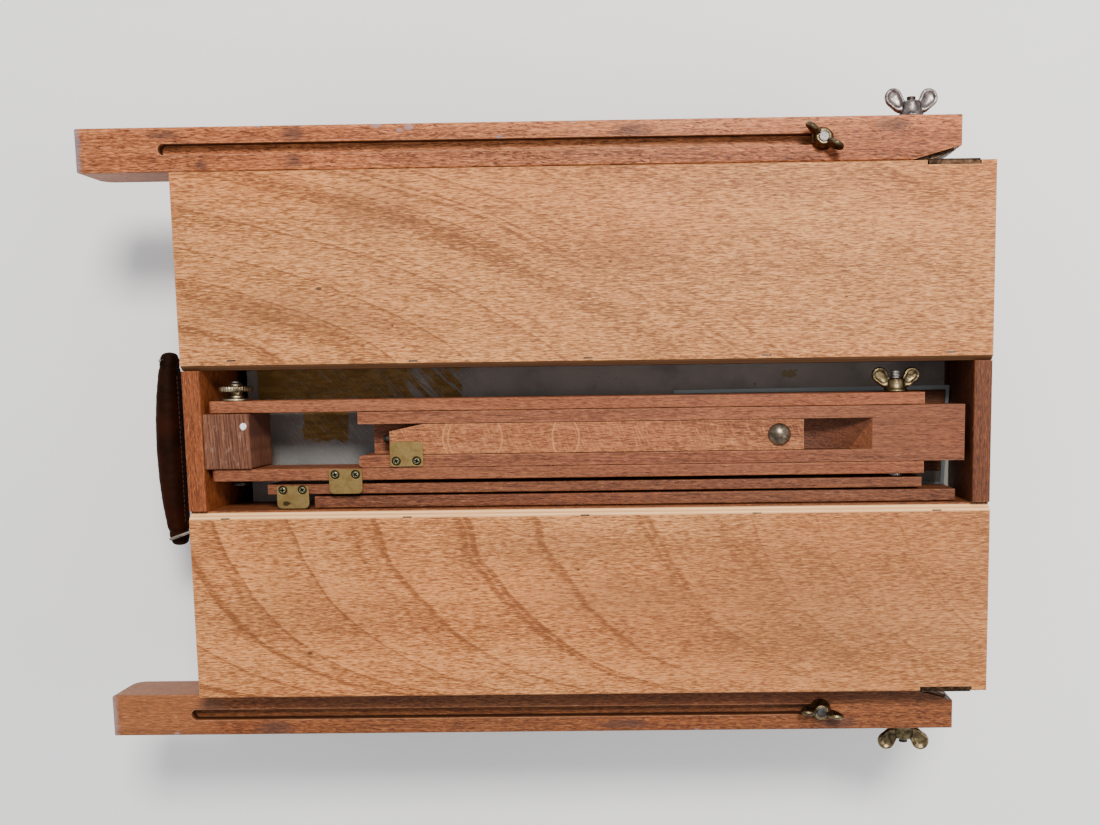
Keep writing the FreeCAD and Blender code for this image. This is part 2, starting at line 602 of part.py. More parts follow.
def rear_middle_leg():
    """Trough with two tines and a solid tongue, rounded about the fold bolt."""
    y0, y1 = REAR_Y - MID_HW, REAR_Y + MID_HW
    leg = box(116, FOLD_X + TONGUE_R + 1, y0, y1, MID_Z0, REAR_TOP)
    swing = rod(FOLD_X, y0 - 1, REAR_PIV_Z, Y_AX, TONGUE_R, 60)
    leg = leg.common(swing.fuse(box(100, FOLD_X, y0 - 1, y1 + 1, MID_Z0 - 1, REAR_TOP + 1)))
    trough = box(110, RUNOUT_X0, REAR_Y - TROUGH_HW, REAR_Y + TROUGH_HW, TROUGH_Z, REAR_TOP + 1)
    runout = box(RUNOUT_X0, RUNOUT_X1, REAR_Y - TROUGH_HW, REAR_Y + TROUGH_HW, TROUGH_Z, REAR_TOP + 1)
    runout = runout.common(rod(RUNOUT_X0, y0, TROUGH_Z + RUNOUT_R, Y_AX, RUNOUT_R, 60))
    leg = leg.cut(trough.fuse(runout))
    leg = leg.cut(box(110, 121.5, REAR_Y - TROUGH_HW, REAR_Y + TROUGH_HW, MID_Z0 - 1, REAR_TOP + 1))
    leg = leg.cut(slot_cut(150, 405, REAR_Y, 2 * (SLIDE_R + RUN), MID_Z0 - 1, MID_Z0 + 8))
    leg = leg.cut(rod(FOLD_X, y0 - 1, REAR_PIV_Z, Y_AX, PIVOT_R + RUN, 60)).removeSplitter()
    tips = edges_along(leg, Z_AX, lambda m: m.x < 117 - X_MID and m.y < REAR_Y)
    return leg.makeFillet(2.4, tips)


STICK_HW = 10.2
STICK_Z0 = MID_Z0 + 7.4
STICK_TOP = REAR_TOP - 0.6
REAR_SLIDE_X = 399.6


def rear_lower_leg():
    """Lower stick with a tapered end."""
    low, high = REAR_Y - STICK_HW, REAR_Y + STICK_HW
    outline = ((137, REAR_Y - 5.4), (160, low), (416, low), (416, high), (160, high), (137, REAR_Y + 5.4))
    shape = profile_xy(outline, STICK_Z0, STICK_TOP)
    return shape.cut(rod(REAR_SLIDE_X, REAR_Y, STICK_Z0 - 1, Z_AX, SLIDE_R, 40))


def rear_foot_tip():
    mid = (STICK_Z0 + STICK_TOP) / 2.0
    tip = Part.makeCone(4.6, 2.2, 6.2, V(137 - X_MID, REAR_Y, mid), V(-1, 0, 0))
    return tip


def rear_slide_bolt():
    """Domed bolt through the stick and the trough floor with its nut plate."""
    dome = placed(screw_head(7.7, 4.0, False), REAR_SLIDE_X, REAR_Y, STICK_TOP, Z_AX)
    shank = rod(REAR_SLIDE_X, REAR_Y, MID_Z0 - 4.6, Z_AX, SLIDE_R, STICK_TOP - MID_Z0 + 4.6)
    nut = rod(REAR_SLIDE_X, REAR_Y, MID_Z0 - 3.6, Z_AX, 6.0, 3.4)
    return dome.fuse(shank).fuse(nut).removeSplitter()


def rear_pivot_nut():
    """Round knurled thumb nut: washer, shoulder, neck, wide disc and small hub."""
    nut = None
    steps = ((11.2, 27.1, 28.4), (5.2, 28.4, 30.6), (4.4, 30.6, 32.8), (11.0, 32.8, 36.7), (4.3, 36.7, 38.8))
    for radius, y0, y1 in steps:
        ring = rod(REAR_PIV_X, y0, REAR_PIV_Z, Y_AX, radius, y1 - y0)
        nut = ring if nut is None else nut.fuse(ring)
    rim = [e for e in nut.Edges if abs(e.Length - 2 * math.pi * 11.0) < 0.1]
    nut = nut.makeChamfer(0.6, rim)
    return nut.cut(rod(REAR_PIV_X, 20, REAR_PIV_Z, Y_AX, PIVOT_R + RUN, 30)).removeSplitter()


def rear_fold_nut():
    nut = wing_nut(PIVOT_R, 33.0, 16.5)
    return placed(nut, FOLD_X, REAR_Y + RAIL_OUT + 0.15, REAR_PIV_Z, Y_AX, 0)


def middle_guide_plate():
    """Plate on the lower tine that keeps the stick in its trough."""
    return guide_plate(137.2, 159.6, REAR_Y - 18.2, REAR_Y - 1.6, REAR_TOP, False, REAR_Y - 14.6)


def upper_guide_plate():
    """Plate on an upper rail, reaching over the inner thin rail."""
    return guide_plate(95.4, 117.8, -36.6, -19.9, REAR_TOP, True, -23.6)


STAY_TOP = H - 9.5


def stay_rail(x0, x1, y0, y1, top):
    return board(x0, x1, y0, y1, 123.4, top, 0.7)


def stay_guide_plate():
    """Plate on the inner thin rail, reaching towards the channel wall."""
    return guide_plate(57.8, 79.6, -46.9, -31.3, STAY_TOP, True, -34.2)


def write(name, shape):
    if not shape.isValid():
        print("check", name)
    shape.exportStep(os.path.join("parts", name + ".step"))


def main():
    os.makedirs("parts", exist_ok=True)
    side = case_side()
    parts = {
        "case_side_a": side, "case_side_b": mirrored(side),
        "case_back_wall": end_wall(0, WALL, CASE_Z0),
        "case_front_rail": end_wall(BOX_L - WALL, BOX_L, TRAY_Z + 2.4),
        "bottom_panel_a": bottom_panel(1), "bottom_panel_b": bottom_panel(-1),
        "channel_walls": channel_walls(), "leg_pivot_block": leg_pivot_block(),
        "rear_pivot_bolt": rear_pivot_bolt(), "panel_staples": panel_staples(),
        "drawer_runners": drawer_runners(), "hinge_leaves_fixed": hinge_leaves_fixed(),
        "latch_pins": latch_pins(), "swivel_seats": swivel_seats(), "handle_staples": handle_staples(),
        "handle_rings": handle_rings(), "handle_grip": handle_grip(),
        "drawer_front": drawer_front(), "drawer_frame": drawer_frame(), "drawer_tray": drawer_tray(),
        "drawer_knob": drawer_knob(), "palette": palette(),
        "lid_frame": lid_frame(), "lid_panel_a": lid_panel(), "lid_panel_b": mirrored(lid_panel()),
        "hinge_leaves_lid": hinge_leaves_lid(),
        "latch_hook_a": latch_hook(), "latch_hook_b": mirrored(latch_hook()),
        "mast_outer": mast_outer(), "canvas_ledge": canvas_ledge(),
        "mast_inner": mast_inner(), "canvas_clamp": canvas_clamp(),
        "rear_upper_rails": rear_upper_rails(), "rear_fold_bolt": rear_fold_bolt(),
        "rear_middle_leg": rear_middle_leg(), "rear_lower_leg": rear_lower_leg(),
        "rear_foot_tip": rear_foot_tip(), "rear_slide_bolt": rear_slide_bolt(),
        "rear_pivot_nut": rear_pivot_nut(), "rear_fold_nut": rear_fold_nut(),
        "middle_guide_plate": middle_guide_plate(), "upper_guide_plate": upper_guide_plate(),
        "stay_rail_inner": stay_rail(51, 496.4, -37.3, -30.4, STAY_TOP),
        "stay_rail_outer": stay_rail(82.8, 519.2, -46.9, -38.9, STAY_TOP - 0.3),
        "stay_guide_plate": stay_guide_plate(),
    }
    leg_parts = (("upper", leg_upper()), ("lower", leg_lower()), ("slide_bolt", leg_slide_bolt()),
                 ("swivel", leg_swivel()), ("leaf", leg_leaf()), ("pivot_nut", leg_pivot_nut()))
    for name, shape in leg_parts:
        parts["leg_a_" + name] = shape
        parts["leg_b_" + name] = mirrored(shape)
    parts["leg_a_slide_nut"] = leg_slide_nut(-38)
    parts["leg_b_slide_nut"] = mirrored(leg_slide_nut(12))
    for name, shape in parts.items():
        write(name, shape)
    print(len(parts), "parts")


main()
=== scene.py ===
import math

import bpy
from mathutils import Matrix, Vector


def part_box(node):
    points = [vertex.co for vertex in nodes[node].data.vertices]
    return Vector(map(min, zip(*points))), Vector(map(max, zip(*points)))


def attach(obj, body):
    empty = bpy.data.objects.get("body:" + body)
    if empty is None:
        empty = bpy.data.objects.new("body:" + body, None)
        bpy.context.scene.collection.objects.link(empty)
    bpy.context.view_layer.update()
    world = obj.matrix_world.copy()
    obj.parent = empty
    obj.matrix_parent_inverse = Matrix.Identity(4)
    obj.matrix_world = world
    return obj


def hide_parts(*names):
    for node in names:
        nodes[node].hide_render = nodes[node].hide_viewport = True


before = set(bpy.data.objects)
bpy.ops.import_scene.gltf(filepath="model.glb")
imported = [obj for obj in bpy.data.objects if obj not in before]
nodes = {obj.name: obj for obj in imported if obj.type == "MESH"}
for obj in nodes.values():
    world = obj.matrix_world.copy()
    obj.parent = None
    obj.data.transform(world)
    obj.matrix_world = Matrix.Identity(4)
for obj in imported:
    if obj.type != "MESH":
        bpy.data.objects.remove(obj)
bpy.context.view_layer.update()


# ---------------------------------------------------------------- shader builder

def tone(r, g, b):
    """Linear colour from 0-255 display values."""
    def lin(c):
        c = c / 255.0
        return c / 12.92 if c <= 0.04045 else ((c + 0.055) / 1.055) ** 2.4
    return (lin(r), lin(g), lin(b), 1.0)


class Shader:
    """One Principled surface with helpers for procedural nodes in object space."""

    def __init__(self, name, rough=0.5, metallic=0.0, specular=0.5, coat=0.0, coat_rough=0.25):
        self.mat = bpy.data.materials.new(name)
        self.mat.use_nodes = True
        self.tree = self.mat.node_tree
        self.tree.nodes.clear()
        out = self.add("ShaderNodeOutputMaterial")
        self.bsdf = self.add("ShaderNodeBsdfPrincipled")
        self.tree.links.new(self.bsdf.outputs["BSDF"], out.inputs["Surface"])
        self.bsdf.inputs["Roughness"].default_value = rough
        self.bsdf.inputs["Metallic"].default_value = metallic
        self.bsdf.inputs["Specular IOR Level"].default_value = specular
        self.bsdf.inputs["Coat Weight"].default_value = coat
        self.bsdf.inputs["Coat Roughness"].default_value = coat_rough
        self.pos = self.add("ShaderNodeTexCoord").outputs["Object"]
        self.split = self.add("ShaderNodeSeparateXYZ")
        self.tree.links.new(self.pos, self.split.inputs[0])
        self.normal = self.add("ShaderNodeNewGeometry").outputs["Normal"]

    def add(self, kind, **props):
        node = self.tree.nodes.new(kind)
        for key, value in props.items():
            setattr(node, key, value)
        return node

    def put(self, socket, value):
        if isinstance(value, bpy.types.NodeSocket):
            self.tree.links.new(value, socket)
        else:
            socket.default_value = value

    def axis(self, letter):
        return self.split.outputs["XYZ".index(letter)]

    def times(self, a, b):
        return self.calc("MULTIPLY", a, b)

    def plus(self, a, b, clamp=False):
        return self.calc("ADD", a, b, clamp=clamp)

    def minus(self, a, b):
        return self.calc("SUBTRACT", a, b)

    def calc(self, op, a, b=0.0, c=None, clamp=False):
        node = self.add("ShaderNodeMath", operation=op, use_clamp=clamp)
        self.put(node.inputs[0], a)
        self.put(node.inputs[1], b)
        if c is not None:
            self.put(node.inputs[2], c)
        return node.outputs[0]

    def grain(self, vector, stretch, detail=2.0, rough=0.5, distort=0.0):
        """Noise drawn out by its own factor along each axis."""
        return self.noise(self.vmath("MULTIPLY", vector, stretch), 1.0, detail, rough, distort)

    def vec(self, x, y, z):
        node = self.add("ShaderNodeCombineXYZ")
        for socket, value in zip(node.inputs, (x, y, z)):
            self.put(socket, value)
        return node.outputs[0]

    def vmath(self, op, a, b):
        node = self.add("ShaderNodeVectorMath", operation=op)
        self.put(node.inputs[0], a)
        self.put(node.inputs[1], b)
        return node.outputs[0]

    def mix(self, fac, a, b, mode="MIX"):
        node = self.add("ShaderNodeMix", data_type="RGBA", blend_type=mode)
        self.put(node.inputs[0], fac)
        self.put(node.inputs[6], a)
        self.put(node.inputs[7], b)
        return node.outputs[2]

    def noise(self, vector, scale=1.0, detail=2.0, rough=0.5, distortion=0.0, dims="3D"):
        node = self.add("ShaderNodeTexNoise", noise_dimensions=dims)
        if dims == "1D":
            self.put(node.inputs["W"], vector)
        else:
            self.put(node.inputs["Vector"], vector)
        node.inputs["Scale"].default_value = scale
        node.inputs["Detail"].default_value = detail
        node.inputs["Roughness"].default_value = rough
        node.inputs["Distortion"].default_value = distortion
        return node.outputs[0]

    def ramp(self, fac, low, high, to_low=0.0, to_high=1.0):
        node = self.add("ShaderNodeMapRange", interpolation_type="SMOOTHSTEP", clamp=True)
        self.put(node.inputs[0], fac)
        for n, value in enumerate((low, high, to_low, to_high)):
            node.inputs[n + 1].default_value = value
        return node.outputs[0]

    def colours(self, fac, stops):
        node = self.add("ShaderNodeValToRGB")
        self.put(node.inputs[0], fac)
        ramp = node.color_ramp
        while len(ramp.elements) < len(stops):
            ramp.elements.new(0.5)
        for element, (place, colour) in zip(ramp.elements, stops):
            element.position = place
            element.color = colour
        return node.outputs[0]

    def edge_mask(self, radius, low=0.02, high=0.35):
        """1 on convex edges: how far a rounded normal leaves the flat one."""
        bevel = self.add("ShaderNodeBevel", samples=4)
        bevel.inputs["Radius"].default_value = radius
        dot = self.add("ShaderNodeVectorMath", operation="DOT_PRODUCT")
        self.put(dot.inputs[0], bevel.outputs[0])
        self.put(dot.inputs[1], self.normal)
        return self.ramp(self.minus(1.0, dot.outputs["Value"]), low, high)

    def blob(self, x, y, rx, ry, soft=0.25, ragged=0.0, scale=200.0):
        """Soft spot around a point of the object."""
        dx = self.calc("DIVIDE", self.minus(self.axis("X"), x), rx)
        dy = self.calc("DIVIDE", self.minus(self.axis("Y"), y), ry)
        d = self.plus(self.times(dx, dx), self.times(dy, dy))
        d = self.calc("SQRT", d)
        if ragged:
            n = self.noise(self.pos, scale, 3.0, 0.6)
            d = self.plus(d, self.times(self.minus(n, 0.5), ragged))
        return self.ramp(d, 1.0 - soft, 1.0 + soft, 1.0, 0.0)

    def area(self, x0, x1, y0, y1, soft=0.001, ragged=0.0, scale=200.0):
        """Rectangle of the object with soft or torn edges."""
        ax = self.calc("MINIMUM", self.minus(self.axis("X"), x0), self.minus(x1, self.axis("X")))
        ay = self.calc("MINIMUM", self.minus(self.axis("Y"), y0), self.minus(y1, self.axis("Y")))
        d = self.calc("MINIMUM", ax, ay)
        if ragged:
            n = self.noise(self.pos, scale, 3.0, 0.6)
            d = self.plus(d, self.times(self.minus(n, 0.5), ragged))
        return self.ramp(d, -soft, soft)

    def bump(self, height, distance, strength=1.0, bevel=0.0):
        node = self.add("ShaderNodeBump")
        node.inputs["Strength"].default_value = strength
        node.inputs["Distance"].default_value = distance
        self.put(node.inputs["Height"], height)
        if bevel:
            soft = self.add("ShaderNodeBevel", samples=4)
            soft.inputs["Radius"].default_value = bevel
            self.put(node.inputs["Normal"], soft.outputs[0])
        return node.outputs[0]

    def surface(self, colour, rough=None, normal=None):
        self.put(self.bsdf.inputs["Base Color"], colour)
        if rough is not None:
            self.put(self.bsdf.inputs["Roughness"], rough)
        if normal is not None:
            self.put(self.bsdf.inputs["Normal"], normal)
        return self.mat


# ---------------------------------------------------------------- wood

def wood(name, light, mid, dark, along="X", seed=0.0, slant=0.0, figure=0.5, rings=0.35, fleck=0.5,
         dashes=0.0, grime=0.3, arris=None, arris_amount=0.5, rough=0.5, coat=0.03, extra=None,
         ply=False, face_axis="Z", flame=None):
    """Sawn or peeled timber in object space: growth bands, fibres, pores, flecks, stains and rubbed edges."""
    s = Shader(name, rough=rough, coat=coat, coat_rough=0.3, specular=0.22)
    others = [a for a in "XYZ" if a != along]
    u = s.axis(along)
    v = s.axis(others[0])
    w = s.axis(others[1])
    base = s.vec(s.plus(u, seed * 1.31), s.plus(v, seed * 0.73), s.plus(w, seed * 0.37))
    # growth bands run with the grain, wander slowly and lean across the board
    slow = s.grain(base, (3.2, 13.0, 13.0), 2.0, 0.5, 0.3)
    lean = s.plus(v, s.times(u, slant))
    lean = s.plus(lean, s.times(w, 0.8))
    lean = s.plus(lean, s.times(slow, 0.055))
    lean = s.plus(lean, seed * 0.211)
    broad = s.noise(lean, 34.0, 2.0, 0.55, dims="1D")
    fine = s.noise(lean, 420.0, 2.0, 0.6, dims="1D")
    # fibres: long soft streaks, and short ones with light and dark ends
    streak = s.grain(base, (40.0, 1150.0, 1150.0), 3.0, 0.65)
    short = s.grain(base, (190.0, 2100.0, 2100.0), 2.0, 0.6, 0.4)
    curl = s.grain(base, (260.0, 1050.0, 1050.0), 1.0, 0.5, 0.6)
    tint = s.plus(s.times(s.minus(broad, 0.5), 1.5 * figure),
                  s.times(s.minus(fine, 0.5), rings))
    tint = s.plus(tint, s.times(s.minus(streak, 0.5), 0.95))
    tint = s.plus(tint, s.times(s.minus(curl, 0.5), fleck * 1.2))
    tint = s.plus(tint, s.times(s.minus(short, 0.5), fleck * 3.2))
    if flame is not None:
        # a growth ring ends in a dark line and starts again lighter
        phase, strength = flame(s)
        phase = s.plus(phase, s.times(slow, 0.55))
        ring = s.calc("FRACT", s.plus(phase, s.times(s.noise(phase, 2.3, 2.0, 0.5, dims="1D"), 1.4)))
        line = s.plus(s.ramp(ring, 0.80, 0.97), s.ramp(ring, 0.0, 0.05, 1.0, 0.0), clamp=True)
        line = s.plus(s.times(line, 0.24), s.times(s.minus(ring, 0.5), 0.16))
        tint = s.minus(tint, s.times(line, strength))
    colour = s.colours(s.plus(tint, 0.5, clamp=True), ((0.1, dark), (0.48, mid), (0.84, light)))
    cream = s.times(s.ramp(short, 0.64, 0.74), s.ramp(curl, 0.45, 0.6))
    colour = s.mix(s.times(cream, 0.55 * fleck), colour, s.mix(0.5, light, (1.0, 0.9, 0.7, 1.0)))
    # slow change of warmth over the board
    warm = s.grain(base, (4.0, 9.0, 9.0), 2.0, 0.5)
    colour = s.mix(s.ramp(warm, 0.35, 0.7), colour, s.mix(0.6, colour, (1.0, 0.80, 0.66, 1.0), "MULTIPLY"))
    height = s.times(short, 0.6)
    height = s.plus(height, s.times(streak, 0.5))
    if dashes:
        # beech rays: short dark dashes a little off the grain
        cell = s.vmath("MULTIPLY", s.vec(s.plus(u, s.times(v, -1.2)), s.plus(v, s.times(u, 0.22)), w),
                       (210.0, 900.0, 900.0))
        ray = s.noise(s.vmath("ADD", cell, (seed * 5.0, seed * 3.0, 0.0)), 1.0, 1.0, 0.4)
        mask = s.ramp(ray, 0.60, 0.70)
        patch = s.ramp(s.grain(base, (22.0, 60.0, 60.0), 2.0, 0.5), 0.36, 0.6)
        mask = s.times(mask, s.plus(s.times(patch, 0.75), 0.25))
        colour = s.mix(s.times(mask, dashes), colour, s.mix(0.75, colour, tone(70, 32, 20)))
        height = s.minus(height, s.times(mask, 0.8))
    # stains and handling marks
    stain = s.grain(base, (17.0, 30.0, 30.0), 4.0, 0.62, 0.4)
    colour = s.mix(s.times(s.ramp(stain, 0.62, 0.80), grime), colour, tone(74, 46, 32))
    specks = s.noise(base, 260.0, 1.0, 0.4)
    colour = s.mix(s.times(s.ramp(specks, 0.775, 0.80), 0.7 * min(1.0, grime * 2)), colour, tone(52, 28, 20))
    # end grain where the surface faces along the board
    facing = s.add("ShaderNodeSeparateXYZ")
    s.put(facing.inputs[0], s.normal)
    end = s.calc("ABSOLUTE", facing.outputs["XYZ".index(along)])
    end = s.ramp(end, 0.75, 0.92)
    rings_end = s.noise(lean, 900.0, 2.0, 0.6, dims="1D")
    end_colour = s.colours(rings_end, ((0.3, tone(84, 46, 28)), (0.7, tone(146, 94, 60))))
    colour = s.mix(s.times(end, 0.8), colour, end_colour)
    if ply:
        # veneers show as layers on the thin edges
        side = s.minus(1.0, s.ramp(s.calc("ABSOLUTE", facing.outputs["XYZ".index(face_axis)]), 0.5, 0.9))
        layer = s.calc("PINGPONG", s.axis(face_axis), 0.00167)
        layer = s.ramp(layer, 0.0005, 0.0011)
        layers = s.mix(layer, tone(190, 140, 88), tone(118, 72, 40))
        colour = s.mix(s.times(side, 0.75), colour, layers)
    if arris is not None:
        edge = s.edge_mask(0.0016)
        broken = s.ramp(s.grain(base, (45.0, 160.0, 160.0), 3.0, 0.6), 0.30, 0.62)
        edge = s.times(edge, s.plus(s.times(broken, 0.7), 0.3))
        colour = s.mix(s.times(edge, arris_amount), colour, arris)
    if extra is not None:
        colour, height = extra(s, colour, height)
    glossy = s.plus(rough - 0.06, s.times(stain, 0.16))
    glossy = s.plus(glossy, s.times(s.minus(short, 0.5), 0.12))
    return s.surface(colour, glossy, s.bump(height, 0.00035, 0.8, bevel=0.0008))


# ---------------------------------------------------------------- metals and leather

def metal(name, bright, dull, seed=0.0, rough=0.34, pitted=0.5, spots=0.0, brushed=None, thread=None,
          extra=None):
    """Old metal: mottled tarnish, fine scratches, rubbed edges, screw thread along one axis."""
    s = Shader(name, rough=rough, metallic=1.0)
    base = s.vmath("ADD", s.pos, (seed, seed * 0.7, seed * 0.4))
    mottle = s.noise(base, 180.0, 4.0, 0.6, 0.6)
    small = s.noise(base, 900.0, 3.0, 0.6)
    colour = s.mix(s.ramp(mottle, 0.36, 0.68), bright, dull)
    edge = s.edge_mask(0.0006, 0.05, 0.4)
    colour = s.mix(s.times(edge, 0.6), colour, bright)
    if spots:
        colour = s.mix(s.times(s.ramp(small, 0.62, 0.72), spots), colour, tone(40, 28, 18))
    stretch = (300.0, 3000.0, 3000.0) if brushed == "X" else (1800.0, 1800.0, 1800.0)
    lines = s.grain(base, stretch, 2.0, 0.6)
    gloss = s.plus(rough - 0.12, s.times(mottle, 0.32))
    gloss = s.plus(gloss, s.times(s.minus(lines, 0.5), 0.2))
    height = s.plus(s.times(small, pitted), s.times(lines, 0.3))
    if thread:
        crest = s.ramp(s.calc("PINGPONG", s.axis(thread), 0.0005), 0.0001, 0.0004)
        colour = s.mix(s.minus(1.0, crest), colour, tone(24, 20, 18))
        height = s.plus(height, s.times(crest, 4.0))
    if extra is not None:
        colour, height = extra(s, colour, height)
    return s.surface(colour, gloss, s.bump(height, 0.00012, 0.6, bevel=0.0005))


def leather(name):
    """Dark brown hide: pebbled grain, creases, rubbed high spots."""
    s = Shader(name, rough=0.6, specular=0.05)
    cells = s.add("ShaderNodeTexVoronoi", feature="F1")
    s.put(cells.inputs["Vector"], s.pos)
    cells.inputs["Scale"].default_value = 900.0
    creases = s.grain(s.pos, (160.0, 34.0, 160.0), 4.0, 0.6, 0.5)
    patch = s.noise(s.pos, 42.0, 3.0, 0.55)
    colour = s.mix(s.ramp(patch, 0.35, 0.7), tone(24, 8, 2), tone(42, 16, 5))
    colour = s.mix(s.times(s.edge_mask(0.0015), 0.4), colour, tone(66, 34, 18))
    height = s.plus(s.times(cells.outputs["Distance"], 0.5), s.times(creases, 0.9))
    gloss = s.plus(0.50, s.times(creases, 0.22))
    return s.surface(colour, gloss, s.bump(height, 0.0004, 0.7))


def zinc_tray(name, x0):
    """Dull zinc sheet under the drawer: brown tape glue with torn strips, scratches, light rim, and painted
    light in bands where light falls between the rails.
    """
    s = Shader(name, rough=0.55, metallic=0.25, specular=0.3)
    cells = s.add("ShaderNodeTexVoronoi", feature="F1")
    s.put(cells.inputs["Vector"], s.pos)
    cells.inputs["Scale"].default_value = 150.0
    cloud = s.noise(s.pos, 26.0, 4.0, 0.6)
    grey = s.mix(s.ramp(cloud, 0.35, 0.7), tone(132, 122, 116), tone(104, 96, 92))
    grey = s.mix(s.times(cells.outputs["Distance"], 0.2), grey, tone(134, 130, 126))
    torn = s.grain(s.pos, (60.0, 260.0, 1.0), 4.0, 0.65, 0.8)
    glue = s.mix(s.ramp(torn, 0.35, 0.7), tone(120, 88, 42), tone(150, 114, 60))
    tape = s.area(x0 + 0.030, x0 + 0.176, 0.0262, 0.0480, 0.0005, 0.010, 130.0)
    tape = s.calc("MAXIMUM", tape, s.area(x0 + 0.062, x0 + 0.094, -0.0035, 0.0190, 0.0004, 0.012, 170.0))
    lean = s.vec(s.plus(s.axis("X"), s.times(s.axis("Y"), 0.9)), s.axis("Y"), 0.0)
    strips = s.grain(lean, (150.0, 26.0, 1.0), 2.0, 0.5, 0.7)
    worn = s.ramp(s.axis("X"), x0 + 0.105, x0 + 0.15, 0.0, 1.0)
    tape = s.times(tape, s.minus(1.0, s.times(worn, s.ramp(strips, 0.52, 0.58))))
    colour = s.mix(tape, grey, glue)
    fine = s.grain(lean, (520.0, 60.0, 1.0), 2.0, 0.5, 1.2)
    here = s.area(x0 + 0.05, x0 + 0.19, -0.022, 0.048, 0.004)
    line = s.ramp(s.calc("ABSOLUTE", s.minus(fine, 0.55)), 0.004, 0.012, 1.0, 0.0)
    colour = s.mix(s.times(s.times(line, here), 0.5), colour, tone(188, 184, 180))
    # painted light: pale bands where light reaches the tray between the rails
    painted_light_band = s.area(x0 + 0.0430, x0 + 0.113, -0.0205, -0.0070, 0.0006)
    painted_light_band = s.calc("MAXIMUM", painted_light_band, s.area(x0 + 0.018, x0 + 0.034, -0.0415, -0.0325, 0.0008))
    colour = s.mix(s.times(painted_light_band, 0.45), colour, tone(124, 130, 130))
    bits = s.area(x0 + 0.408, x0 + 0.418, 0.0375, 0.0425, 0.0004, 0.006, 500.0)
    colour = s.mix(s.times(bits, 0.8), colour, tone(110, 92, 54))
    rim = s.ramp(s.axis("Z"), 0.1042, 0.1045)
    colour = s.mix(rim, colour, tone(150, 158, 160))
    colour = s.mix(s.ramp(s.noise(s.pos, 320.0, 3.0, 0.7), 0.66, 0.75), colour, tone(70, 62, 50))
    gloss = s.plus(0.45, s.times(tape, 0.3))
    return s.surface(colour, gloss, s.bump(s.plus(tape, s.times(torn, 0.3)), 0.0002, 0.5))


# ---------------------------------------------------------------- palette of tones

PANEL_L, PANEL_M, PANEL_D = tone(216, 149, 91), tone(170, 110, 62), tone(116, 69, 36)
LEG_L, LEG_M, LEG_D = tone(204, 130, 82), tone(156, 92, 54), tone(92, 50, 28)
# leg b's tones are leg a's darkened: partly its own tone, partly painted shade where the case shadows it
LEG_B_L, LEG_B_M, LEG_B_D = tone(146, 90, 52), tone(109, 63, 35), tone(68, 36, 19)
RAIL_L, RAIL_M, RAIL_D = tone(150, 92, 60), tone(123, 72, 46), tone(80, 41, 25)
THIN_L, THIN_M, THIN_D = tone(124, 75, 47), tone(102, 58, 36), tone(65, 33, 19)
CASE_L, CASE_M, CASE_D = tone(128, 71, 38), tone(104, 54, 27), tone(66, 31, 14)
PALE = tone(226, 176, 124)


def dress(node, material):
    obj = nodes[node]
    obj.data.materials.clear()
    obj.data.materials.append(material)
    for poly in obj.data.polygons:
        poly.material_index = 0


def panel_marks_and_bevel_light(spots, blotches, bevel_w, bevel_light_and_shade_tones):
    """Small nicks, soft dark blotches and the layered bevel of a panel; the bevel's tones are painted light
    on one panel and painted shade on the other.
    """
    def extra(s, colour, height):
        for x, y, r in spots:
            spot = s.blob(x, y, r, r * 0.6, soft=0.4, ragged=0.4, scale=900.0)
            colour = s.mix(s.times(spot, 0.85), colour, tone(64, 38, 26))
            height = s.minus(height, spot)
        for x, y, rx, ry, amount in blotches:
            spot = s.blob(x, y, rx, ry, soft=0.7, ragged=0.9, scale=60.0)
            colour = s.mix(s.times(spot, amount), colour, tone(112, 70, 44))
        # the bevel beside the channel shows the layers of the board as pale and brown lines, in tones
        # lightened or darkened to paint how light falls on that bevel
        depth = s.minus(s.calc("ABSOLUTE", s.axis("Y")), 0.0475)
        bevel = s.ramp(depth, bevel_w - 0.0003, bevel_w + 0.0001, 1.0, 0.0)
        layer = s.ramp(s.calc("PINGPONG", depth, 0.0011), 0.0002, 0.0007)
        wavy = s.grain(s.pos, (30.0, 600.0, 600.0), 2.0, 0.6)
        strip = s.mix(s.times(layer, 0.6), bevel_light_and_shade_tones[0], bevel_light_and_shade_tones[1])
        strip = s.mix(s.ramp(wavy, 0.45, 0.75), strip, bevel_light_and_shade_tones[2])
        colour = s.mix(bevel, colour, strip)
        return colour, height
    return extra


# panel a's bevel faces away from the light: its tones are painted shade
top_marks_shaded_bevel = panel_marks_and_bevel_light(((-0.148, 0.1, 0.002), (0.045, 0.115, 0.0012), (-0.1, 0.075, 0.001),
                         (0.2, 0.09, 0.001)),
                        ((-0.11, 0.152, 0.03, 0.018, 0.25), (0.05, 0.12, 0.035, 0.014, 0.22),
                         (-0.19, 0.085, 0.05, 0.012, 0.3), (-0.13, 0.078, 0.05, 0.01, 0.22)), 0.0032,
                        (tone(98, 64, 38), tone(60, 38, 22), tone(78, 50, 29)))
# panel b's bevel faces the light: its tones are painted light
low_marks_lit_bevel = panel_marks_and_bevel_light(((-0.165, -0.146, 0.0018), (0.02, -0.09, 0.001), (0.17, -0.13, 0.001)),
                        ((0.0, -0.075, 0.045, 0.012, 0.25), (0.035, -0.11, 0.05, 0.016, 0.3),
                         (-0.15, -0.12, 0.06, 0.02, 0.2), (0.22, -0.11, 0.13, 0.07, 0.34),
                         (0.12, -0.13, 0.09, 0.04, 0.15)), 0.0056,
                        (tone(255, 204, 146), tone(184, 118, 68), tone(232, 172, 112)))


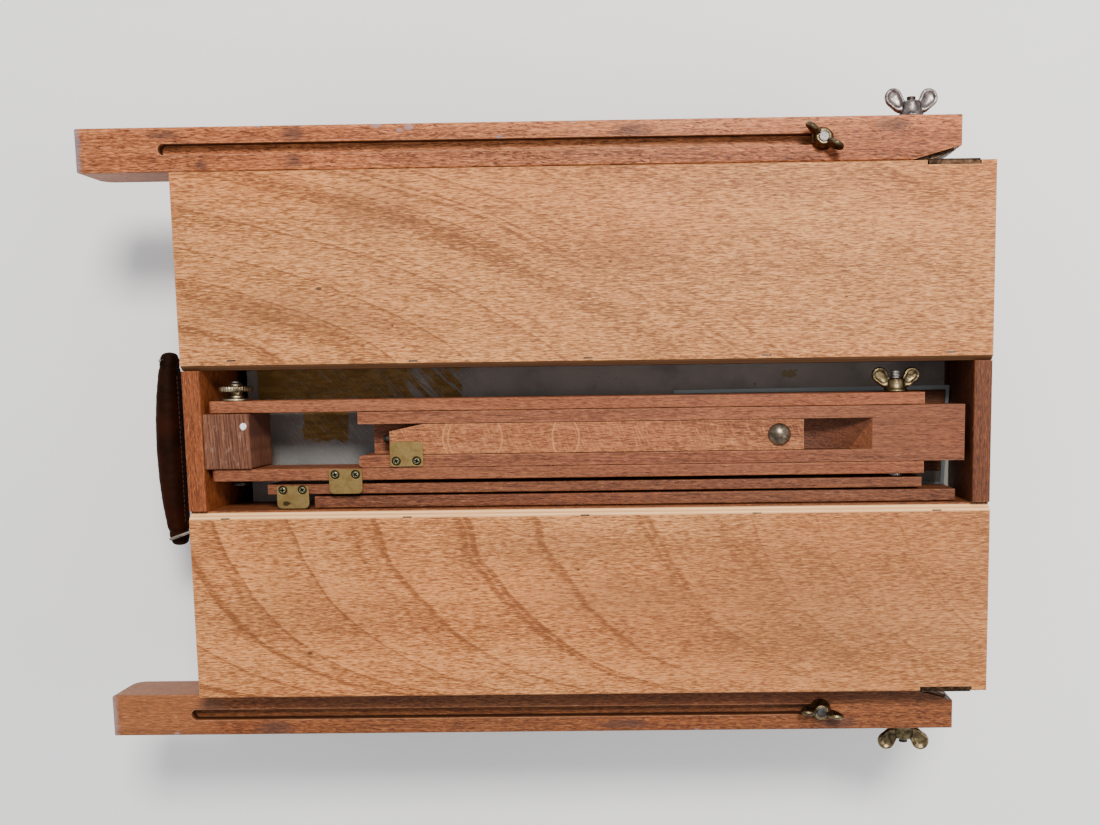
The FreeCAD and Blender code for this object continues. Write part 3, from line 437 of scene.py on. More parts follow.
def flame_top(s):
    """Arched rings that fall away from the upper left corner of the panel."""
    u = s.calc("DIVIDE", s.plus(s.axis("X"), 0.243), 0.212)
    h = s.calc("DIVIDE", s.minus(s.axis("Y"), 0.047), 0.088)
    u = s.calc("MAXIMUM", u, 0.0)
    h = s.calc("MAXIMUM", h, 0.0)
    r = s.calc("SQRT", s.plus(s.times(u, u), s.times(h, h)))
    r = s.plus(r, s.plus(u, h))
    return s.times(r, 1.6), s.ramp(s.axis("X"), -0.06, 0.06, 1.0, 0.42)


def flame_low(s):
    """Rings that drop steeply from the channel edge and level out to the right."""
    v = s.calc("DIVIDE", s.minus(-0.048, s.axis("Y")), 0.136)
    v = s.calc("LOGARITHM", s.calc("MAXIMUM", s.minus(1.0, v), 0.05), math.e)
    u = s.plus(s.axis("X"), s.times(v, 0.055))
    return s.times(u, 17.0), s.ramp(s.axis("X"), 0.0, 0.16, 1.0, 0.5)


dress("bottom_panel_a", wood("ply_panel_a", PANEL_L, PANEL_M, PANEL_D, seed=0.4, slant=0.08, figure=0.2,
                             rings=0.14, fleck=0.75, grime=0.22, arris=PALE, arris_amount=0.7, rough=0.5,
                             ply=True, extra=top_marks_shaded_bevel, flame=flame_top))
dress("bottom_panel_b", wood("ply_panel_b", PANEL_L, PANEL_M, PANEL_D, seed=1.9, slant=0.1, figure=0.2,
                             rings=0.14, fleck=0.75, grime=0.2, arris=PALE, arris_amount=0.7, rough=0.5,
                             ply=True, extra=low_marks_lit_bevel, flame=flame_low))
for n, seed in (("lid_panel_a", 3.1), ("lid_panel_b", 4.4)):
    dress(n, wood("ply_" + n, PANEL_L, PANEL_M, PANEL_D, seed=seed, slant=-0.25, figure=0.55, rings=0.14,
                  fleck=0.6, grime=0.4, arris=PALE, arris_amount=0.5, ply=True))


LEG_Y, LEG_SLOT_HALF = 0.19545, 0.00425


def leg_marks_and_shade(y_sign, stains, chips):
    """Scuffed foot end, dark handling stains and paint chips, with painted shade inside the slot and, on leg
    b, the case's painted shadow and a lighter unshaded end.
    """
    def extra(s, colour, height):
        top = s.ramp(s.axis("Z"), 0.134, 0.140)
        foot = s.blob(-0.3152, 0.1954 * y_sign, 0.0035, 0.03, soft=0.6, ragged=1.4, scale=320.0)
        colour = s.mix(s.times(s.times(foot, top), 0.7), colour, tone(122, 118, 128))
        for x, y, rx, ry in stains:
            spot = s.blob(x, y, rx, ry, soft=0.6, ragged=1.2, scale=260.0)
            colour = s.mix(s.times(s.times(spot, top), 0.62), colour, tone(66, 46, 40))
        for x, y, r in chips:
            spot = s.blob(x, y, r * 1.3, r * 0.7, soft=0.25, ragged=1.0, scale=420.0)
            colour = s.mix(s.times(s.times(spot, top), 0.5), colour, tone(138, 128, 140))
        if y_sign < 0:
            # painted light: the end reaching past the case, out of its shadow, is lighter
            pale = s.ramp(s.axis("X"), -0.265, -0.225, 0.22, 0.0)
            colour = s.mix(pale, colour, s.mix(0.5, colour, tone(236, 160, 104)))
            # painted shadow of the case along leg b's upper strip
            inner = s.times(s.ramp(s.axis("Y"), -0.1925, -0.1905), s.ramp(s.axis("X"), -0.25, -0.15))
            colour = s.mix(s.times(inner, 0.4), colour, tone(58, 28, 12))
        # painted shade: the slot walls are darkened below the surface
        deep = s.ramp(s.axis("Z"), 0.1385, 0.1425, 1.0, 0.0)
        slot = s.area(-0.262, 0.1915, LEG_Y * y_sign - LEG_SLOT_HALF, LEG_Y * y_sign + LEG_SLOT_HALF, 0.0002)
        colour = s.mix(s.times(s.times(deep, slot), 0.92), colour, tone(30, 14, 8))
        return colour, height
    return extra


leg_a_marks_and_shade = leg_marks_and_shade(1, ((-0.1665, 0.2045, 0.007, 0.005), (-0.168, 0.1865, 0.006, 0.004),
                            (-0.23, 0.1845, 0.004, 0.003), (0.235, 0.204, 0.012, 0.004),
                            (-0.255, 0.205, 0.01, 0.003), (0.06, 0.2035, 0.012, 0.004)),
                        ((-0.111, 0.2094, 0.0028), (-0.089, 0.2075, 0.0026), (-0.0955, 0.2055, 0.0016),
                         (-0.0285, 0.2002, 0.0016), (-0.19, 0.2095, 0.0012), (0.02, 0.2096, 0.0013)))
leg_b_marks_and_shade = leg_marks_and_shade(-1, ((-0.2, -0.2055, 0.012, 0.005), (-0.245, -0.19, 0.01, 0.006),
                             (0.05, -0.205, 0.016, 0.003), (0.2, -0.2055, 0.012, 0.004)),
                        ((-0.27, -0.2085, 0.0014), (0.1, -0.2095, 0.0012)))
for side, seed, tones, marks in (("a", 5.2, (LEG_L, LEG_M, LEG_D), leg_a_marks_and_shade),
                                 ("b", 6.7, (LEG_B_L, LEG_B_M, LEG_B_D), leg_b_marks_and_shade)):
    dress(f"leg_{side}_upper", wood(f"beech_leg_{side}", *tones, seed=seed, slant=0.03, figure=0.5,
                                    rings=0.4, fleck=0.6, dashes=1.0, grime=0.45, arris=tone(212, 158, 120),
                                    arris_amount=0.7, rough=0.46, extra=marks))
    dress(f"leg_{side}_lower", wood(f"beech_stick_{side}", *tones, seed=seed + 0.9, slant=0.02, figure=0.4,
                                    rings=0.35, fleck=0.5, dashes=0.9, grime=0.3, arris=tone(200, 148, 110),
                                    rough=0.5))


def pocket_shadow_and_dark_end(s, colour, height):
    """Painted shadow on the floor where the trough runs out, sparing the corner facet, and the trough painted
    darker towards its right end.
    """
    low = s.ramp(s.axis("Z"), 0.1585, 0.1602, 1.0, 0.0)
    inside = s.area(0.170, 0.2195, -0.0112, 0.0104, 0.0002)
    corner = s.minus(s.axis("X"), s.plus(0.2055, s.times(s.plus(s.axis("Y"), 0.011), 0.68)))
    # painted shadow of the trough wall on the run-out floor
    shade = s.times(s.times(low, inside), s.ramp(corner, -0.0004, 0.0004, 0.55, 0.0))
    colour = s.mix(shade, colour, s.mix(0.75, colour, tone(44, 22, 14)))
    tongue = s.times(s.ramp(s.axis("X"), 0.14, 0.22), 0.5)
    return s.mix(tongue, colour, s.mix(0.5, colour, tone(60, 34, 24))), height


def ray_figure(s, colour, height):
    """Small cross flecks and a pair of curved ray stripes over the stick."""
    cross = s.noise(s.vmath("MULTIPLY", s.vec(s.plus(s.axis("X"), s.times(s.axis("Y"), 0.4)), s.axis("Y"),
                                              0.0),
                            (900.0, 130.0, 1.0)), 1.0, 2.0, 0.5)
    colour = s.mix(s.times(s.ramp(cross, 0.56, 0.68), 0.5), colour, tone(186, 124, 78))
    colour = s.mix(s.times(s.ramp(cross, 0.44, 0.34), 0.4), colour, tone(100, 54, 30))
    for x, bend in ((-0.070, 30.0), (-0.0665, 30.0), (-0.030, -26.0), (0.004, 22.0), (0.022, -30.0)):
        dy = s.plus(s.axis("Y"), 0.0004)
        centre = s.plus(x, s.times(s.times(dy, dy), bend))
        off = s.calc("ABSOLUTE", s.minus(s.axis("X"), centre))
        colour = s.mix(s.times(s.ramp(off, 0.0003, 0.0009, 1.0, 0.0), 0.4), colour, tone(206, 140, 84))
    return colour, height


def lower_rail_shade(s, colour, height):
    """The rail on the thin rails' side is made darker."""
    return s.mix(s.ramp(s.axis("Y"), -0.012, -0.008, 0.3, 0.0), colour,
                 s.mix(0.5, colour, tone(60, 30, 18))), height


dress("rear_upper_rails", wood("beech_rails", RAIL_L, RAIL_M, RAIL_D, seed=7.7, slant=0.02, figure=0.4,
                               rings=0.5, fleck=0.55, dashes=0.45, grime=0.25, arris=tone(186, 128, 96),
                               arris_amount=0.6, extra=lower_rail_shade))
dress("rear_middle_leg", wood("beech_trough", RAIL_L, RAIL_M, RAIL_D, seed=8.6, slant=0.015, figure=0.4,
                              rings=0.5, fleck=0.5, dashes=0.45, grime=0.2, arris=tone(186, 128, 96),
                              arris_amount=0.6, extra=pocket_shadow_and_dark_end))
dress("rear_lower_leg", wood("beech_stick_rear", tone(168, 108, 68), tone(128, 74, 43), tone(88, 48, 27),
                             seed=9.4, slant=0.05, figure=0.4, rings=0.2, fleck=0.7, dashes=0.3, grime=0.15,
                             arris=tone(196, 140, 100), arris_amount=0.6, extra=ray_figure))
for n, seed in (("stay_rail_inner", 10.3), ("stay_rail_outer", 11.1)):
    dress(n, wood("beech_" + n, THIN_L, THIN_M, THIN_D, seed=seed, slant=0.01, figure=0.45, rings=0.6,
                  fleck=0.6, dashes=0.4, grime=0.25, arris=tone(166, 110, 80), arris_amount=0.5))


def block_marks(s, colour, height):
    """Deep growth bands, greyed face and a dab of white paint."""
    bands = s.noise(s.plus(s.axis("X"), s.times(s.axis("Y"), 0.06)), 560.0, 2.0, 0.6, dims="1D")
    groove = s.ramp(bands, 0.52, 0.68)
    colour = s.mix(s.times(groove, 0.75), colour, tone(66, 36, 28))
    rub = s.ramp(s.grain(s.pos, (300.0, 120.0, 300.0), 3.0, 0.6), 0.56, 0.7)
    top = s.ramp(s.axis("Z"), 0.1625, 0.1632)
    colour = s.mix(s.times(s.times(rub, top), 0.4), colour, tone(150, 118, 102))
    dab = s.times(s.blob(-0.2035, 0.0098, 0.0021, 0.0024, soft=0.15, ragged=0.7, scale=500.0), top)
    colour = s.mix(dab, colour, tone(232, 234, 240))
    height = s.plus(s.minus(height, s.times(groove, 1.6)), dab)
    return colour, height


dress("leg_pivot_block", wood("block_wood", tone(128, 84, 60), tone(100, 62, 44), tone(68, 38, 27),
                              along="Y", seed=12.5, figure=0.3, rings=0.3, fleck=0.3, grime=0.2,
                              arris=tone(156, 116, 94), arris_amount=0.5, rough=0.7, coat=0.0,
                              extra=block_marks))


def finger_joints(s, colour, height):
    """Box joints at the corners: fingers of end grain and dark glue lines."""
    ends = s.ramp(s.calc("ABSOLUTE", s.minus(s.axis("X"), 0.027)), 0.2578, 0.2581)
    turn = s.calc("PINGPONG", s.axis("Z"), 0.012)
    finger = s.ramp(turn, 0.0058, 0.0062)
    line = s.ramp(s.calc("ABSOLUTE", s.minus(turn, 0.006)), 0.0002, 0.0005, 1.0, 0.0)
    colour = s.mix(s.times(s.times(ends, finger), 0.6), colour, tone(98, 58, 36))
    colour = s.mix(s.times(s.times(ends, line), 0.8), colour, tone(40, 22, 14))
    return colour, s.minus(height, s.times(ends, line))


for n, seed in (("case_side_a", 13.2), ("case_side_b", 14.1), ("lid_frame", 15.6)):
    dress(n, wood("board_" + n, CASE_L, CASE_M, CASE_D, seed=seed, slant=0.06, figure=0.5, rings=0.35,
                  fleck=0.4, dashes=0.5, grime=0.4, arris=tone(190, 138, 104), arris_amount=0.6,
                  face_axis="Y", extra=finger_joints))
BACK_TONES = tone(142, 80, 42), tone(118, 62, 30), tone(76, 37, 17)
FRONT_TONES = tone(112, 64, 38), tone(90, 49, 28), tone(56, 28, 15)
for n, seed, tones in (("case_back_wall", 16.3, BACK_TONES), ("case_front_rail", 17.2, FRONT_TONES),
                       ("drawer_front", 18.4, BACK_TONES)):
    dress(n, wood("board_" + n, *tones, along="Y", seed=seed, slant=0.05, figure=0.5, rings=0.35, fleck=0.6,
                  dashes=0.5, grime=0.35, arris=tone(166, 112, 78), arris_amount=0.6))
for n, seed in (("channel_walls", 19.5), ("drawer_runners", 20.2)):
    dress(n, wood("board_" + n, tone(140, 86, 52), tone(112, 66, 38), tone(76, 40, 22), seed=seed,
                  slant=0.04, figure=0.45, rings=0.3, fleck=0.5, dashes=0.3, grime=0.25))


def frame_painted_light(s, colour, height):
    """Painted shade on the front end of the frame and a strip of painted highlight in near white."""
    # painted shade: the front end of the frame is darkened
    front = s.times(s.ramp(s.axis("X"), 0.2815, 0.2822), s.ramp(s.axis("Z"), 0.095, 0.1))
    colour = s.mix(s.times(front, 0.85), colour, tone(30, 16, 10))
    # painted highlight: a near-white strip on the frame's top
    painted_highlight_strip = s.area(0.2790, 0.2850, -0.0430, -0.0236, 0.0003, 0.0008, 400.0)
    return s.mix(painted_highlight_strip, colour, tone(226, 224, 216)), height


dress("drawer_frame", wood("board_drawer_frame", tone(136, 84, 52), tone(108, 64, 38), tone(74, 40, 22),
                           seed=21.1, slant=0.04, figure=0.45, rings=0.3, fleck=0.5, dashes=0.3, grime=0.25,
                           extra=frame_painted_light))
dress("palette", wood("palette_ply", tone(206, 158, 112), tone(178, 126, 82), tone(134, 86, 52), seed=22.3,
                      slant=0.3, figure=0.6, rings=0.2, fleck=0.5, grime=0.3, ply=True))
for n, seed in (("mast_outer", 23.4), ("mast_inner", 24.2), ("canvas_ledge", 25.7), ("canvas_clamp", 26.1)):
    along = "Y" if n.startswith("canvas") else "X"
    dress(n, wood("beech_" + n, LEG_L, LEG_M, LEG_D, along=along, seed=seed, slant=0.03, figure=0.35,
                  rings=0.3, fleck=0.35, dashes=0.7, grime=0.3, arris=tone(214, 164, 132), arris_amount=0.5))

BRASS_BRIGHT, BRASS_DULL = tone(186, 160, 104), tone(112, 92, 58)


def plate_marks(screws, smudges):
    """Countersunk cross-head screws and dark smudges on a guide plate."""
    def extra(s, colour, height):
        for x, y, turn in screws:
            dx = s.minus(s.axis("X"), x)
            dy = s.minus(s.axis("Y"), y)
            d = s.calc("SQRT", s.plus(s.times(dx, dx), s.times(dy, dy)))
            ring = s.times(s.ramp(d, 0.0019, 0.0023), s.ramp(d, 0.0029, 0.0033, 1.0, 0.0))
            head = s.ramp(d, 0.0020, 0.0022, 1.0, 0.0)
            c, n = math.cos(turn), math.sin(turn)
            u = s.calc("ABSOLUTE", s.plus(s.times(dx, c), s.times(dy, n)))
            v = s.calc("ABSOLUTE", s.minus(s.times(dy, c), s.times(dx, n)))
            cross = s.ramp(s.calc("MINIMUM", u, v), 0.0003, 0.0006, 1.0, 0.0)
            cross = s.times(cross, s.ramp(d, 0.0014, 0.0018, 1.0, 0.0))
            colour = s.mix(head, colour, tone(120, 122, 96))
            colour = s.mix(s.calc("MAXIMUM", cross, s.times(ring, 0.9)), colour, tone(26, 18, 14))
            height = s.minus(height, s.times(s.calc("MAXIMUM", cross, ring), 5.0))
        for x, y, r, amount in smudges:
            spot = s.blob(x, y, r, r * 0.8, soft=0.3, ragged=0.9, scale=900.0)
            colour = s.mix(s.times(spot, amount), colour, tone(40, 34, 26))
        return colour, height
    return extra


def dark_end(s, colour, height):
    """Blackened screw end of the pivot bolt outside the leg."""
    end = s.ramp(s.calc("ABSOLUTE", s.axis("Y")), 0.2095, 0.2105)
    return s.mix(s.times(end, 0.85), colour, tone(58, 52, 50)), height


def dark_head(s, colour, height):
    """Blackened head of the rear pivot bolt; only its screw end stays bright."""
    return s.mix(s.ramp(s.axis("Y"), 0.0, 0.002, 0.9, 0.0), colour, tone(34, 26, 22)), height


def brass_plate(name, seed, screws, smudges=()):
    return metal(name, tone(150, 126, 80), tone(128, 103, 60), seed, rough=0.44, pitted=0.25, spots=0.3,
                 brushed="X", extra=plate_marks(screws, smudges))


brass_hinge = metal("brass_hinge", BRASS_BRIGHT, BRASS_DULL, 1.3, rough=0.4, pitted=0.4, spots=0.3)
bronze_hinge = metal("bronze_hinge", tone(104, 84, 66), tone(44, 34, 28), 2.3, rough=0.42, pitted=0.9,
                     spots=0.6, extra=dark_end)
steel_bolt = metal("steel_bolt", tone(232, 228, 224), tone(150, 142, 138), 3.3, rough=0.34, pitted=0.6,
                   spots=0.3, thread="Y")
slide_bolt = metal("slide_bolt", tone(190, 184, 180), tone(110, 100, 96), 3.9, rough=0.3, pitted=0.6,
                   spots=0.4, thread="Z")
dark_steel = metal("dark_steel", tone(112, 104, 100), tone(48, 42, 40), 4.3, rough=0.42, pitted=0.8,
                   spots=0.6)
dome_metal = metal("dome_metal", tone(136, 122, 106), tone(76, 64, 54), 5.3, rough=0.3, pitted=0.5,
                   spots=0.4)
hide = leather("brown_leather")
ring_wire = metal("dark_wire", tone(168, 158, 146), tone(96, 86, 76), 6.3, rough=0.4, pitted=0.4)
dress("middle_guide_plate", brass_plate("brass_plate_middle", 0.3,
                                        ((-0.1017, -0.0150, 0.5), (-0.0878, -0.0150, 1.1))))
dress("upper_guide_plate", brass_plate("brass_plate_upper", 0.9,
                                       ((-0.1435, -0.0236, 0.2), (-0.1296, -0.0236, 0.8))))
dress("stay_guide_plate", brass_plate("brass_plate_stay", 1.7,
                                      ((-0.1811, -0.0342, 0.1), (-0.1678, -0.0342, 0.7)),
                                      ((-0.1792, -0.0434, 0.0022, 0.85), (-0.1768, -0.0433, 0.0011, 0.6))))
for n in ("leg_a_swivel", "leg_b_swivel", "leg_a_leaf", "leg_b_leaf"):
    dress(n, bronze_hinge)
dress("swivel_seats", metal("worn_seat", tone(88, 66, 50), tone(38, 28, 22), 2.9, rough=0.55, pitted=1.2,
                            spots=0.8))
for n in ("hinge_leaves_fixed", "hinge_leaves_lid", "latch_hook_a", "latch_hook_b", "latch_pins",
          "drawer_knob"):
    dress(n, brass_hinge)
dress("rear_fold_bolt", steel_bolt)
dress("rear_pivot_bolt", metal("pivot_bolt", tone(210, 204, 198), tone(130, 120, 114), 3.6, rough=0.34,
                               pitted=0.6, spots=0.4, thread="Y", extra=dark_head))
for n in ("leg_a_slide_bolt", "leg_b_slide_bolt"):
    dress(n, slide_bolt)
dress("rear_slide_bolt", dome_metal)
for n in ("rear_foot_tip", "panel_staples"):
    dress(n, dark_steel)
for n in ("handle_rings", "handle_staples"):
    dress(n, ring_wire)
dress("drawer_tray", zinc_tray("zinc_sheet", -0.243))


# ---------------------------------------------------------------- cast nuts

def show_mesh(name, verts, faces, material, place, node, body):
    """Smooth mesh object in place of a CAD node, riding on that node's body."""
    mesh = bpy.data.meshes.new(name)
    mesh.from_pydata([place @ Vector(v) for v in verts], [], faces)
    mesh.validate()
    for poly in mesh.polygons:
        poly.use_smooth = True
    mesh.materials.append(material)
    obj = bpy.data.objects.new(name, mesh)
    bpy.context.scene.collection.objects.link(obj)
    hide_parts(node)
    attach(obj, body)
    return obj


def lathe(verts, faces, profile, sides, radius=None):
    """Closed turned form about +Z; radius may change a point's radius with its angle."""
    start = len(verts)
    for r, z in profile:
        for k in range(sides):
            a = 2.0 * math.pi * k / sides
            rr = r if radius is None else radius(r, z, k)
            verts.append((rr * math.cos(a), rr * math.sin(a), z))
    rows = len(profile)
    for i in range(rows - 1):
        for k in range(sides):
            a, b = start + i * sides + k, start + i * sides + (k + 1) % sides
            faces.append((a, b, b + sides, a + sides))
    faces.append(tuple(start + k for k in reversed(range(sides))))
    faces.append(tuple(start + (rows - 1) * sides + k for k in range(sides)))


def wing_ear(verts, faces, scale, tall, turn, lean):
    """One cast ear: a drop-shaped plate, dished inside a thick bead, its tail running into the hub."""
    around, cx, cz = 40, 0.0112, 0.0120
    rings = ((0.0, 0.0007), (0.3, 0.0007), (0.5, 0.0009), (0.62, 0.0014), (0.74, 0.0019), (0.86, 0.0018),
             (0.95, 0.0011), (1.0, 0.0))
    tail = math.atan2(-0.0085, -0.0068)
    start = len(verts)

    def put(share, thick, angle, side):
        reach = 0.0057 + 0.0052 * max(0.0, math.cos(angle - tail)) ** 5
        u = cx + share * reach * math.cos(angle)
        w = cz + share * reach * math.sin(angle)
        thick = thick * (1.0 + 0.5 * share * max(0.0, math.cos(angle - tail)))
        v = side * thick + lean * (u - 0.004) * (w / 0.018)
        x, y = u * math.cos(turn) - v * math.sin(turn), u * math.sin(turn) + v * math.cos(turn)
        verts.append((x * scale, y * scale, w * tall))

    for side in (1, -1):
        for share, thick in rings:
            for k in range(around):
                put(share, thick, 2.0 * math.pi * k / around, side)
    rows = len(rings)
    for half in range(2):
        base = start + half * rows * around
        for i in range(rows - 1):
            for k in range(around):
                a, b = base + i * around + k, base + i * around + (k + 1) % around
                quad = (a, b, b + around, a + around)
                faces.append(quad if half == 0 else quad[::-1])


def cast_brass(name, bright, dull, seed):
    return metal("cast_" + name, bright, dull, seed, rough=0.32, pitted=1.6, spots=0.5)


# size that the profile and the ears below are drawn at
NUT_SPAN, NUT_HEIGHT = 0.0338, 0.0177


def wing_nut(node, body, span, height, bolt_r, washer, place, turn, bright, dull, seed):
    """Old cast wing nut: flanged hub with a worn top, two dished ears and a washer below."""
    scale, tall = span / NUT_SPAN, height / NUT_HEIGHT
    verts, faces = [], []
    profile = ((0.0, 0.0), (0.0080, 0.0), (0.0085, 0.0004), (0.0085, 0.0013), (0.0078, 0.0019),
               (0.0070, 0.0032), (0.0064, 0.0058), (0.0062, 0.0080), (0.0060, 0.0090), (0.0054, 0.0097),
               (0.0046, 0.0099), (0.0, 0.0097))
    lathe(verts, faces, [(max(r * scale, bolt_r + 0.0001), z * tall) for r, z in profile], 48)
    if washer:
        flat = ((bolt_r + 0.0001, -washer), (0.0085, -washer), (0.0088, 0.0003 - washer), (0.0088, -0.0003),
                (0.0085, 0.0), (bolt_r + 0.0001, 0.0))
        lathe(verts, faces, flat, 48)
    wing_ear(verts, faces, scale, tall, turn, 0.10)
    wing_ear(verts, faces, scale, tall, turn + math.pi, 0.10)
    return show_mesh("cast_" + node, verts, faces, cast_brass(node, bright, dull, seed), place, node, body)


def thumb_nut(node, body, place):
    """Round nut with a straight knurl on its disc."""
    verts, faces = [], []
    rings = (((0.0034, 0.0), (0.0112, 0.0), (0.0113, 0.0004), (0.0112, 0.0010), (0.0106, 0.0013),
              (0.0034, 0.0013)),
             ((0.0034, 0.0012), (0.0050, 0.0014), (0.0053, 0.0019), (0.0053, 0.0030), (0.0047, 0.0035),
              (0.0042, 0.0044), (0.0046, 0.0056), (0.0034, 0.0058)),
             ((0.0034, 0.0056), (0.0098, 0.0057), (0.0106, 0.0060), (0.0110, 0.0064), (0.0110, 0.0090),
              (0.0106, 0.0094), (0.0098, 0.0096), (0.0072, 0.0095), (0.0050, 0.0092), (0.0045, 0.0097),
              (0.0043, 0.0108), (0.0038, 0.0115), (0.0034, 0.0116)))
    for profile in rings:
        lathe(verts, faces, profile, 144,
              lambda r, z, k: r - (0.00035 if k % 4 < 2 and r > 0.0100 and z > 0.005 else 0.0))
    return show_mesh("knurled_" + node, verts, faces, cast_brass(node, tone(184, 170, 140),
                                                                 tone(84, 70, 52), 4.9), place, node, body)


def aim(x, y, z, direction):
    """Frame at a point with local +Z along a row direction and local +X along row X."""
    z_axis = Vector(direction)
    x_axis = Vector((1, 0, 0))
    y_axis = z_axis.cross(x_axis)
    rot = Matrix((x_axis, y_axis, z_axis)).transposed()
    return Matrix.Translation((x, y, z)) @ rot.to_4x4()


SILVER, SHADE = tone(148, 138, 134), tone(66, 58, 58)
GILT, UMBER = tone(128, 112, 82), tone(50, 40, 30)
# seats of the nuts on the legs' pivot bolts and slide bolts; both rear bolts lie at one height
LEG_PIVOT_X, LEG_PIVOT_Y, LEG_PIVOT_Z = 0.250, 0.21175, 0.124
SLIDE_NUT_X, SLIDE_NUT_Z = 0.187, 0.14315
REAR_BOLT_Z = 0.150
for side, sign, turn in (("a", 1, math.radians(-38)), ("b", -1, math.radians(-12))):
    place = aim(LEG_PIVOT_X, sign * LEG_PIVOT_Y, LEG_PIVOT_Z, (0, sign, 0))
    wing_nut(f"leg_{side}_pivot_nut", f"leg_{side}_pivot_wing_nut", 0.0366, 0.020, 0.003, 0.0014, place, 0.0,
             *((SILVER, SHADE) if sign > 0 else (GILT, UMBER)), 2.0 + sign)
    place = aim(SLIDE_NUT_X, sign * LEG_Y, SLIDE_NUT_Z, (0, 0, 1))
    wing_nut(f"leg_{side}_slide_nut", f"leg_{side}_slide_wing_nut", 0.030, 0.0155, 0.0037, 0.0, place, turn,
             GILT, UMBER, 5.0 + sign)
place = aim(0.236, 0.02695, REAR_BOLT_Z, (0, 1, 0))
wing_nut("rear_fold_nut", "rear_fold_wing_nut", 0.033, 0.0168, 0.003, 0.0, place, 0.0, GILT, UMBER, 9.0)
thumb_nut("rear_pivot_nut", "rear_pivot_thumb_nut", aim(-0.2122, 0.0271, REAR_BOLT_Z, (0, 1, 0)))


# ---------------------------------------------------------------- leather handle

# share of the half length, centre X, half width in X, half depth in Z
GRIP = ((0.0, -0.2882, 0.0094, 0.0124), (0.3, -0.2879, 0.0091, 0.0122), (0.55, -0.2872, 0.0083, 0.0118),
        (0.8, -0.2862, 0.0068, 0.0104), (0.93, -0.2858, 0.0060, 0.0078), (1.0, -0.2854, 0.0044, 0.0062))
GRIP_Z = 0.082


def grip_section(t):
    """Centre and half sizes of the grip at a share of its half length."""
    t = min(abs(t), 1.0)
    for a, b in zip(GRIP, GRIP[1:]):
        if t <= b[0]:
            k = (t - a[0]) / (b[0] - a[0])
            return [p + (q - p) * k for p, q in zip(a[1:], b[1:])]
    return list(GRIP[-1][1:])


def grip_point(t, angle, y_mid, y_half):
    """Point of the leather surface: squarish oval, pinched behind the rings, with shallow creases."""
    cx, rx, rz = grip_section(t)
    end = min(1.0, (1.0 - abs(t)) / 0.035)
    close = math.sqrt(max(0.0, 1.0 - (1.0 - end) ** 2))
    pinch = 1.0 - 0.07 * math.exp(-((abs(t) - 0.845) / 0.022) ** 2)
    crease = 1.0 + 0.010 * math.sin(t * 61.0 + 1.3 * math.sin(angle * 2.0 + t * 9.0)) * (0.3 + 0.7 * abs(t))
    c, n = math.cos(angle), math.sin(angle)
    fold = 1.0 - 0.03 * math.exp(-(math.atan2(n, c) / 0.16) ** 2)
    size = close * pinch * crease * fold
    x = cx + math.copysign(abs(c) ** 0.86, c) * rx * size
    z = GRIP_Z + math.copysign(abs(n) ** 0.86, n) * rz * size
    return (x, y_mid + t * y_half, z)


def leather_grip():
    low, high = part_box("handle_grip")
    y_mid, y_half = (low[1] + high[1]) / 2.0, (high[1] - low[1]) / 2.0
    rows, around = 150, 48
    verts, faces = [], []
    for i in range(rows + 1):
        s = -math.cos(math.pi * i / rows)
        t = 0.35 * s + 0.65 * (2.0 * i / rows - 1.0)
        t = max(-0.9999, min(0.9999, t))
        for k in range(around):
            verts.append(grip_point(t, 2.0 * math.pi * k / around, y_mid, y_half))
    for i in range(rows):
        for k in range(around):
            a, b = i * around + k, i * around + (k + 1) % around
            faces.append((a, a + around, b + around, b))
    faces.append(tuple(range(around)))
    faces.append(tuple(rows * around + k for k in reversed(range(around))))
    grip = show_mesh("leather_grip", verts, faces, hide, Matrix.Identity(4), "handle_grip", "handle")
    return y_mid, y_half


def grip_stitches(y_mid, y_half):
    """Two rows of waxed thread beside the seam on the side that faces the case."""
    verts, faces = [], []
    count, sides = 30, 8
    shape = ((-1.0, 0.15), (-0.8, 0.75), (-0.3, 1.0), (0.3, 1.0), (0.8, 0.75), (1.0, 0.15))
    for row in (-1, 1):
        for j in range(count):
            t = -0.76 + 1.52 * (j + 0.5) / count
            angle = row * 0.30
            here = Vector(grip_point(t, angle, y_mid, y_half))
            ahead = Vector(grip_point(t + 0.02, angle, y_mid, y_half))
            along = (ahead - here).normalized()
            out = Vector((math.cos(angle), 0.0, math.sin(angle)))
            side = along.cross(out).normalized()
            start = len(verts)
            for step, radius in shape:
                for k in range(sides):
                    a = 2.0 * math.pi * k / sides
                    off = out * math.cos(a) + side * math.sin(a)
                    verts.append(here + along * step * 0.0015 + off * radius * 0.0004)
            for i in range(len(shape) - 1):
                for k in range(sides):
                    a, b = start + i * sides + k, start + i * sides + (k + 1) % sides
                    faces.append((a, b, b + sides, a + sides))
            faces.append(tuple(start + k for k in reversed(range(sides))))
            faces.append(tuple(start + (len(shape) - 1) * sides + k for k in range(sides)))
    mesh = bpy.data.meshes.new("grip_stitches")
    mesh.from_pydata(verts, [], faces)
    for poly in mesh.polygons:
        poly.use_smooth = True
    mesh.materials.append(waxed_thread())
    obj = bpy.data.objects.new("grip_stitches", mesh)
    bpy.context.scene.collection.objects.link(obj)
    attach(obj, "handle")


